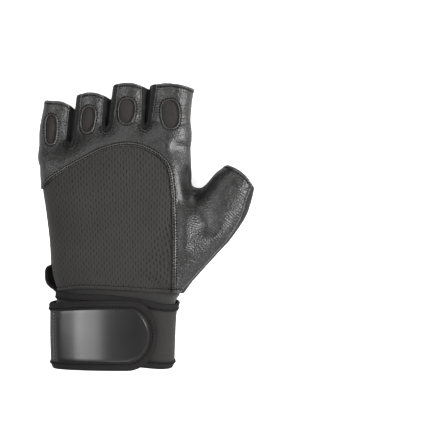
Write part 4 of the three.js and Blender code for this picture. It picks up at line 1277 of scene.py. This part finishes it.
def layer_offset(angle):
    """How far the strap's inner face lies outside the sleeve, with its climb over its own start."""
    share = np.clip((CLIMB_FROM - angle) / (CLIMB_FROM - CLIMB_TO), 0, 1)
    return SEAM_GAP + (TAPE_HIGH + LAYER_GAP) * share * share * (3 - 2 * share)


def strap_stations():
    """Angles and runs along the strap's outer face, from its start to its rounded end."""
    angles = START_ANGLE - np.arange(0, 4 * math.pi, math.radians(0.5))
    points = cuff_points(angles, np.full(len(angles), STRAP_MIDDLE_Y), layer_offset(angles) + STRAP_THICKNESS)
    end = np.argmax((angles < LAST_QUARTER) & (points[:, 0] > STRAP_END_X))
    return angles[: end + 1], runs_along(points)[: end + 1]


STATION_ANGLES, STATION_RUNS = strap_stations()
STRAP_LENGTH = float(STATION_RUNS[-1])
STRAP_HALF = STRAP_WIDTH / 2


def strap_point(run, across, outside):
    """A point at a run along the strap, a distance across it towards the hand, and outside its inner face."""
    run = np.asarray(run, float)
    angle = np.interp(run, STATION_RUNS, STATION_ANGLES)
    rise, width, lean = table_values(STRAP_COURSE, "share", "rise width lean", run / STRAP_LENGTH)
    pressed = EDGE_LEAN * lean * eased(-across / STRAP_HALF, *LEAN_BAND)
    y = STRAP_MIDDLE_Y + rise * STRAP_WIDTH + across * width
    return cuff_points(angle, y, layer_offset(angle) + outside - pressed)


def half_width_at(run, end, half):
    """Half the width of a band at a run along it, narrower in its rounded end."""
    over = np.clip((run - (end - half * END_ROUND)) / (half * END_ROUND), 0, 1)
    return half * np.sqrt(np.maximum(1 - over * over, 0.0004))


def strap_layer(name, start, end, half, low, high, edge_radius, material):
    """A rounded band between two faces of the strap, with a rounded end."""
    rounding = half * END_ROUND
    quarter = rounding * np.sin(np.linspace(0, math.pi / 2, 18)) * 0.9995
    runs = np.concatenate([np.arange(start, end - rounding, STRAP_PITCH), end - rounding + quarter])
    rings, uv = [], []
    for run in runs:
        width = 2 * float(half_width_at(run, end, half))
        radius = min(edge_radius, width * 0.45, (high - low) * 0.49)
        profile = rounded_profile(width, high - low, radius, 3, (16, 2))
        rings.append(strap_point(np.full(len(profile), run), profile[:, 0], (low + high) / 2 + profile[:, 1]))
        uv.extend((run * MM, p * MM) for p in profile[:, 0])
    points, faces = swept(rings, False)
    uv.extend([(runs[0] * MM, 0), (runs[-1] * MM, 0)])
    return face_outwards(make_mesh(name, points, faces, material, uv))


def tape_group():
    """A woven or brushed cloth that follows the strap by its own map."""
    t, given, spot = new_group("Strap cloth", "UV", "Rib mm", "Nap", "Patchiness")
    u, v, _ = t.node("ShaderNodeSeparateXYZ", {0: spot}).outputs
    pitch = t.div(3141.6, given["Rib mm"])
    weave = t.mul(t.abs(t.sin(t.mul(u, pitch))), t.abs(t.sin(t.mul(v, pitch))))
    nap = t.noise(spot, 1300.0, 4.0)
    patch = t.patches(t.noise(spot, 45.0, 4.0), given["Patchiness"])
    height = t.add(t.mul(weave, 0.6), t.mul(nap, given["Nap"]))
    return t.put_out(t.add(t.mul(height, 0.7), patch), patch, height)


STRAP_CLOTH_GROUP = tape_group()
STRAP_CLOTH = finish_material(
    "Brushed strap cloth", STRAP_CLOTH_GROUP, {"Rib mm": 0.9, "Nap": 0.8, "Patchiness": 0.35},
    dark=(0.008, 0.0075, 0.007), light=(0.034, 0.032, 0.031),
    roughness=0.92, swing=0.1, bump=0.7, relief_mm=0.3,
    sheen=0.1, specular=0.2,
)
wrist_strap = strap_layer(
    "wrist_strap_piece", 0, STRAP_LENGTH, STRAP_HALF, 0, STRAP_THICKNESS, STRAP_EDGE, STRAP_CLOTH
)
set_up(wrist_strap, "strap_fabric", "wrist_strap")


# Strap binding
# Woven tape folded over the strap's edges and sewn through, down one side, round the tab and back up.

TAPE = finish_material(
    "Binding tape", STRAP_CLOTH_GROUP, {"Rib mm": 0.7, "Nap": 0.25, "Patchiness": 0.3},
    dark=(0.007, 0.0066, 0.0068), light=(0.03, 0.028, 0.029),
    roughness=0.85, swing=0.1, bump=0.7, relief_mm=0.25,
    specular=0.1,
)
TAPE_LIFT = 0.25
TAPE_MAP_PITCH = 0.7  # how far apart the section's points lie on its map


def tape_profile():
    """The folded tape's section: (inwards from the strap's edge, outside its inner face), a closed loop."""
    top_out, top_in = TAPE_HIGH - TAPE_LIFT, STRAP_THICKNESS + 0.05
    edge = -0.9
    outer = [(BINDING_WIDTH, top_in + 0.1), (BINDING_WIDTH, top_out - 0.2), (BINDING_WIDTH - 0.3, top_out)]
    outer += [(BINDING_WIDTH * s, top_out) for s in (0.75, 0.5, 0.25)]
    middle, radius = top_out / 2, top_out / 2
    for a in np.linspace(math.pi / 2, 3 * math.pi / 2, 9):
        outer.append((0.3 + (0.3 - edge) * math.cos(a), middle + radius * math.sin(a)))
    inner = [(2.6, 0.0), (2.8, 0.15), (2.6, 0.3), (0.9, 0.3)]
    inner += [(0.3, 0.5), (0.1, STRAP_THICKNESS / 2), (0.3, STRAP_THICKNESS - 0.1)]
    inner += [(1.5, top_in), (3.5, top_in)]
    return np.array(outer + inner)


def edge_course(inset, pitch=STRAP_PITCH):
    """Along one edge, round the tab and back: runs and places across."""
    half = STRAP_HALF - inset
    end = STRAP_LENGTH - inset
    rounding = half * END_ROUND
    straight = np.arange(0, end - rounding, pitch)
    turn = np.linspace(0, math.pi, 46)
    run = np.concatenate([straight, end - rounding + rounding * np.sin(turn), straight[::-1]])
    side = np.full(len(straight), half)
    across = np.concatenate([side, half * np.cos(turn), -side])
    return run, across


def binding_rings():
    """Rings of the tape's section along its course, and a map that follows it."""
    profile = tape_profile()
    inwards, outside = profile.T
    run, across = edge_course(0.0)
    du, dv = np.gradient(run), np.gradient(across)
    size = np.hypot(du, dv)
    rings, uv = [], []
    gone = runs_along(np.stack([run, across], 1))
    for r, a, wr, wa, g in zip(run, across, dv / size, -du / size, gone):
        rings.append(strap_point(np.maximum(r + wr * inwards, 0.0), a + wa * inwards, outside))
        uv.extend((g * MM, k * TAPE_MAP_PITCH * MM) for k in range(len(profile)))
    uv.extend([(0, 0), (gone[-1] * MM, 0)])
    return rings, uv


rings, uv = binding_rings()
strap_binding = face_outwards(make_mesh("strap_binding_piece", *swept(rings, False), TAPE, uv))
set_up(strap_binding, "binding", "strap_binding")


# Strap panel
# A patch of smooth coated leather on the tab, caught under the binding and stitched across its start.

PANEL_THICKNESS = 0.6
PANEL_INSET = 2.0
PANEL_START_X = -39.0


def coated_group():
    """A nearly smooth coat with slight waves."""
    t, given, spot = new_group("Coated leather", "Object", "Patchiness")
    fine, broad = t.noise(spot, 900.0, 3.0), t.noise(spot, 60.0, 3.0)
    patch = t.patches(broad, given["Patchiness"])
    height = t.add(t.mul(fine, 0.4), t.mul(broad, 0.8))
    return t.put_out(t.add(fine, patch), patch, height)


COATED_LEATHER = finish_material(
    "Coated leather", coated_group(), {"Patchiness": 0.5},
    dark=(0.008, 0.0075, 0.0075), light=(0.014, 0.013, 0.013),
    roughness=0.26, swing=0.15, bump=0.15, relief_mm=0.2,
)
panel_points = strap_point(STATION_RUNS, np.zeros(len(STATION_RUNS)), 0.0)
panel_first = np.argmax((STATION_ANGLES < -math.pi) & (panel_points[:, 0] > PANEL_START_X))
PANEL_RUN = float(STATION_RUNS[panel_first])
PANEL_HALF = STRAP_HALF - BINDING_WIDTH - SEAM_GAP
PANEL_END = STRAP_LENGTH - BINDING_WIDTH - PANEL_INSET
strap_panel = strap_layer("strap_panel_piece", PANEL_RUN, PANEL_END, PANEL_HALF, STRAP_THICKNESS + 0.05,
                          TAPE_LOW + PANEL_THICKNESS - 0.15, 0.35, COATED_LEATHER)
set_up(strap_panel, "panel", "strap_panel")


# Pull loop
# A doubled tape caught in the side seam by the wrist, to pull the glove on with.

LOOP_LENGTH = 19.0
LOOP_REACH = 7.4
LOOP_TAPE = 1.6
LOOP_HEIGHT = 9.0
LOOP_LIFT = 2.0  # of its middle above the side seam
LOOP_LEAN = 0.6  # how far the lower edge leans in towards the hand
loop_top = HEM_Y + 17.5
loop_side = -0.425 * KNUCKLE_WIDTH
loop_middle = LOOP_TAPE / 2
loop_line = smooth_line([
    (loop_side + 2.0, loop_top - loop_middle),
    (loop_side - LOOP_REACH * 0.55 + loop_middle, loop_top - LOOP_LENGTH * 0.12 - loop_middle * 0.6),
    (loop_side - LOOP_REACH + 2.4 + loop_middle, loop_top - LOOP_LENGTH * 0.4),
    (loop_side - LOOP_REACH + 3.4 + loop_middle, loop_top - LOOP_LENGTH * 0.68),
    (loop_side + 2.6, loop_top - LOOP_LENGTH + loop_middle),
], 60)


def loop_rings():
    """Rings of the tape's section along the loop, and a map that follows it."""
    profile = rounded_profile(LOOP_HEIGHT, LOOP_TAPE * 1.15, 0.6, 3, (10, 2))
    way = np.gradient(loop_line, axis=0)
    way /= np.linalg.norm(way, axis=1)[:, None]
    rings, uv = [], []
    gone = runs_along(loop_line)
    for (x, y), (tx, ty), g in zip(loop_line, way, gone):
        lean = [LOOP_LEAN * (LOOP_HEIGHT / 2 - a) for a, _ in profile]
        rings.append([
            (x + ty * b + aside, y - tx * b, SEAM_Z + LOOP_LIFT + a) for (a, b), aside in zip(profile, lean)
        ])
        uv.extend((g * MM, a * MM) for a, _ in profile)
    uv.extend([(0, 0), (gone[-1] * MM, 0)])
    return rings, uv


rings, uv = loop_rings()
pull_loop = face_outwards(make_mesh("pull_loop_piece", *swept(rings, False), TAPE, uv))
set_up(pull_loop, "binding", "pull_loop")


# Stitching
# Bonded black thread in lockstitch: each stitch is a short bead that dips into the leather at both ends.

THREAD = finish_material(
    "Black thread", FINE_KNIT, {"Rib mm": 0.5, "Rib angle": 0.8, "Patchiness": 0.2},
    dark=(0.0015, 0.0015, 0.0015), light=(0.003, 0.003, 0.003),
    roughness=0.9, swing=0.1, bump=0.3, relief_mm=0.05,
    specular=0.04,
)


def stitch_tree():
    """A Geometry Nodes tree that lays a bead at every pitch along the lines of a mesh."""
    tree = bpy.data.node_groups.new("Stitch row", "GeometryNodeTree")
    face = tree.interface
    face.new_socket(name="Geometry", in_out="INPUT", socket_type="NodeSocketGeometry")
    for label, value in (("Pitch", 0.0026), ("Stitch length", 0.002), ("Thread radius", 0.0003)):
        face.new_socket(name=label, in_out="INPUT", socket_type="NodeSocketFloat").default_value = value
    face.new_socket(name="Thread", in_out="INPUT", socket_type="NodeSocketMaterial")
    face.new_socket(name="Geometry", in_out="OUTPUT", socket_type="NodeSocketGeometry")
    t = Tree(tree)
    given = t.node("NodeGroupInput").outputs
    lines = t.node("GeometryNodeMeshToCurve", {"Mesh": given["Geometry"]}).outputs[0]
    course = {"Curve": lines, "Length": given["Pitch"]}
    even = t.node("GeometryNodeResampleCurve", course, mode="LENGTH").outputs[0]
    bead = t.node("GeometryNodeMeshUVSphere", {"Segments": 8, "Rings": 5, "Radius": 1.0}).outputs[0]
    smooth = t.node("GeometryNodeSetShadeSmooth", {"Geometry": bead}).outputs[0]
    half, radius = t.mul(given["Stitch length"], 0.5), given["Thread radius"]
    size = t.node("ShaderNodeCombineXYZ", {0: half, 1: radius, 2: radius}).outputs[0]
    tangent = t.node("GeometryNodeInputTangent").outputs[0]
    turn = t.node("FunctionNodeAlignRotationToVector", {"Vector": tangent}, axis="X").outputs[0]
    laid = t.node(
        "GeometryNodeInstanceOnPoints", {"Points": even, "Instance": smooth, "Rotation": turn, "Scale": size}
    ).outputs[0]
    real = t.node("GeometryNodeRealizeInstances", {"Geometry": laid}).outputs[0]
    dyed = t.node("GeometryNodeSetMaterial", {"Geometry": real, "Material": given["Thread"]}).outputs[0]
    t.node("NodeGroupOutput", {"Geometry": dyed})
    return tree


STITCH_TREE = stitch_tree()


def apply_tree(piece, tree, values):
    """Runs a node tree on a piece, with its inputs by name, and leaves a plain mesh."""
    modifier = piece.modifiers.new("Stitches", "NODES")
    modifier.node_group = tree
    for item in tree.interface.items_tree:
        if item.in_out == "INPUT" and item.name in values:
            modifier[item.identifier] = values[item.name]
    depsgraph = bpy.context.evaluated_depsgraph_get()
    mesh = bpy.data.meshes.new_from_object(piece.evaluated_get(depsgraph), depsgraph=depsgraph)
    piece.modifiers.clear()
    piece.data = mesh


def sew(name, lines, pitch, length, thread):
    """One piece of stitches along lines of points in millimetres."""
    points, edges = [], []
    for line in lines:
        first = len(points)
        points.extend(tuple(np.asarray(p) * MM) for p in line)
        edges.extend((first + i, first + i + 1) for i in range(len(line) - 1))
    mesh = bpy.data.meshes.new(name)
    mesh.from_pydata(points, edges, [])
    piece = new_object(name, mesh)
    apply_tree(piece, STITCH_TREE, {
        "Pitch": pitch * MM, "Stitch length": length * MM, "Thread radius": thread * MM, "Thread": THREAD,
    })
    piece.data.materials.clear()
    piece.data.materials.append(THREAD)
    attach(piece, "root")


STITCH_SINK = 0.05
STEEPEST = 0.12  # no stitch lies where the surface's normal is closer to level than this
RAY_START = 0.1  # metres above or below the glove's origin


def surface_finder(*carriers):
    """A function that drops points in plan onto the carriers, from above or from below."""
    trees = []
    for mesh in (c.data for c in carriers):
        points, faces = [v.co for v in mesh.vertices], [p.vertices for p in mesh.polygons]
        trees.append(BVHTree.FromPolygons(points, faces))

    def landed(x, y, way):
        start, course = Vector((x * MM, y * MM, -way * RAY_START)), Vector((0, 0, way))
        hits = [hit for hit in (tree.ray_cast(start, course) for tree in trees) if hit[0] is not None]
        if not hits:
            return None
        spot, normal, _, _ = min(hits, key=lambda hit: hit[3])
        return None if abs(normal.z) < STEEPEST else np.array(spot - normal * STITCH_SINK * MM) / MM

    def drop(line, from_above=True):
        """The runs of points that land, each at least two long."""
        runs = [[]]
        for x, y in line:
            spot = landed(x, y, -1.0 if from_above else 1.0)
            if spot is None:
                runs.append([])
            else:
                runs[-1].append(spot)
        return [run for run in runs if len(run) > 1]

    return drop


def offset_line(line, distance, closed=False):
    """A line moved to its right by a distance."""
    p = np.asarray(line, float)
    if closed:
        way = np.roll(p, -1, axis=0) - np.roll(p, 1, axis=0)
    else:
        way = np.gradient(p, axis=0)
    way /= np.linalg.norm(way, axis=1)[:, None]
    moved = p + np.stack([way[:, 1], -way[:, 0]], 1) * distance
    return np.vstack([moved, moved[:1]]) if closed else moved


on_back = surface_finder(back_yoke, mesh_back)
back_lines = []
for k in (1, 2):
    back_lines += on_back(evenly(offset_line(MESH_LINE, -MESH_ROW * k), 240))
for vent in VENTS:
    ring = np.array(vent_outline(vent, grow=VENT_ROW, steps=60))
    back_lines += on_back(np.vstack([ring, ring[:1]]))
for mouth in MOUTHS:
    back_lines += on_back(evenly(mouth_arc(mouth, back=MOUTH_ROW), 60))
for outline in FOURCHETTE_OUTLINES.values():
    back_lines += on_back(evenly(offset_line(np.array(outline[1:-1]), EDGE_ROW), 60))
back_lines += on_back(evenly(offset_line(np.array(GUSSET_LINE), -GUSSET_ROW), 160))
hem_x = np.linspace(-45, 50, 160)
hem_y = HEM_Y + HEM_ROW + table_value(HEM_COURSE, "across", "rise", hem_x)
back_lines += on_back(np.stack([hem_x, hem_y], 1))
sew("stitches_back", back_lines, pitch=1.75, length=1.15, thread=0.4)

on_palm = surface_finder(palm_leather, *[bpy.data.objects[p["name"] + "_piece"] for p in PADS])
palm_lines = []
PAD_ROW = 1.4
for pad in PADS:
    palm_lines += on_palm(offset_line(pad["outline"], PAD_ROW, closed=True), from_above=False)
for mouth in MOUTHS:
    palm_lines += on_palm(evenly(mouth_arc(mouth, back=MOUTH_ROW), 60), from_above=False)
sew("stitches_palm", palm_lines, pitch=2.3, length=1.6, thread=0.34)

run, across = edge_course(BINDING_WIDTH - 1.3, 0.8)
tape_line = strap_point(run, across, np.full(len(run), TAPE_HIGH - TAPE_LIFT + 0.02))
panel_rows = np.linspace(-PANEL_HALF + 1, PANEL_HALF - 1, 40)
panel_top = TAPE_LOW + PANEL_THICKNESS - 0.13
seam_line = strap_point(np.full(40, PANEL_RUN + 1.6), panel_rows, np.full(40, panel_top))
sew("stitches_strap", [tape_line, seam_line], pitch=2.2, length=1.4, thread=0.45)


# Floor, light and camera
# A bright white table under soft studio lights, and the camera straight above the glove.

VIEW_X, VIEW_Y = 66.35, 10.0  # middle of the picture, in the glove's frame
VIEW_WIDTH = 288.1
VIEW_HEIGHT = 2600.0
SUBJECT_Z = 20.0
TABLE_REACH = 3000.0
SENSOR = 36.0

reach = TABLE_REACH * MM
floor_mesh = bpy.data.meshes.new("floor")
floor_corners = [(-reach, -reach, 0), (reach, -reach, 0), (reach, reach, 0), (-reach, reach, 0)]
floor_mesh.from_pydata(floor_corners, [], [(0, 1, 2, 3)])
floor = new_object("floor", floor_mesh)
floor_paint = bpy.data.materials.new("White table")
floor_paint.use_nodes = True
floor_paint.node_tree.nodes.clear()
t = Tree(floor_paint.node_tree)
seen = t.node("ShaderNodeLightPath").outputs["Is Camera Ray"]
glow = t.mul(seen, 0.82)
table = t.node("ShaderNodeBsdfPrincipled", {
    "Base Color": (0.8, 0.8, 0.8, 1), "Roughness": 0.9, "Specular IOR Level": 0.1,
    "Emission Color": (1, 1, 1, 1), "Emission Strength": glow,
})
t.node("ShaderNodeOutputMaterial", {"Surface": table.outputs[0]})
floor_mesh.materials.append(floor_paint)

world = bpy.data.worlds.new("Studio")
world.use_nodes = True
world.node_tree.nodes.clear()
t = Tree(world.node_tree)
seen = t.node("ShaderNodeLightPath").outputs["Is Camera Ray"]
strength = t.ramp(seen, 0.0, 1.0, 0.08, 1.0)
air = t.node("ShaderNodeBackground", {"Color": (1, 1, 1, 1), "Strength": strength})
t.node("ShaderNodeOutputWorld", {"Surface": air.outputs[0]})
bpy.context.scene.world = world

# Each softbox: the way it lies from the glove, its size in metres and its power.
SOFTBOXES = [
    dict(name="Key", way=(0.81, 0.12, 0.57), size=(0.4, 0.5), watts=15),
    dict(name="Low light", way=(0.66, -0.66, 0.36), size=(0.35, 0.35), watts=2.0),
    dict(name="Knuckle light", way=(-0.1, 0.64, 0.76), size=(0.6, 0.4), watts=2.9),
    dict(name="Cuff light", way=(0.05, -0.53, 0.85), size=(0.4, 0.35), watts=2.4),
    dict(name="Panel light", way=(-0.42, 0.0, 0.91), size=(0.42, 0.5), watts=4.4),
    dict(name="Side light", way=(-0.76, 0.1, 0.64), size=(0.4, 0.8), watts=4.4),
]
SOFTBOX_AWAY = 1.0
GLOVE_MIDDLE = Vector((0.02, 0.0, 0.02))

for box in SOFTBOXES:
    data = bpy.data.lights.new(box["name"], "AREA")
    data.shape = "RECTANGLE"
    data.size, data.size_y = box["size"]
    data.energy = box["watts"]
    lamp = new_object(box["name"], data)
    way = Vector(box["way"]).normalized()
    lamp.location = GLOVE_MIDDLE + way * SOFTBOX_AWAY
    lamp.rotation_euler = (-way).to_track_quat("-Z", "Y").to_euler()
    lamp.visible_camera = False

camera_data = bpy.data.cameras.new("Camera")
camera_data.sensor_width = SENSOR
camera_data.lens = SENSOR * VIEW_HEIGHT / VIEW_WIDTH
camera = new_object("Camera", camera_data)
camera.location = (VIEW_X * MM, VIEW_Y * MM, (VIEW_HEIGHT + SUBJECT_Z) * MM)
camera.rotation_euler = (0, 0, 0)
camera_data.clip_end = 10
bpy.context.scene.camera = camera
bpy.context.scene.view_settings.view_transform = "Standard"
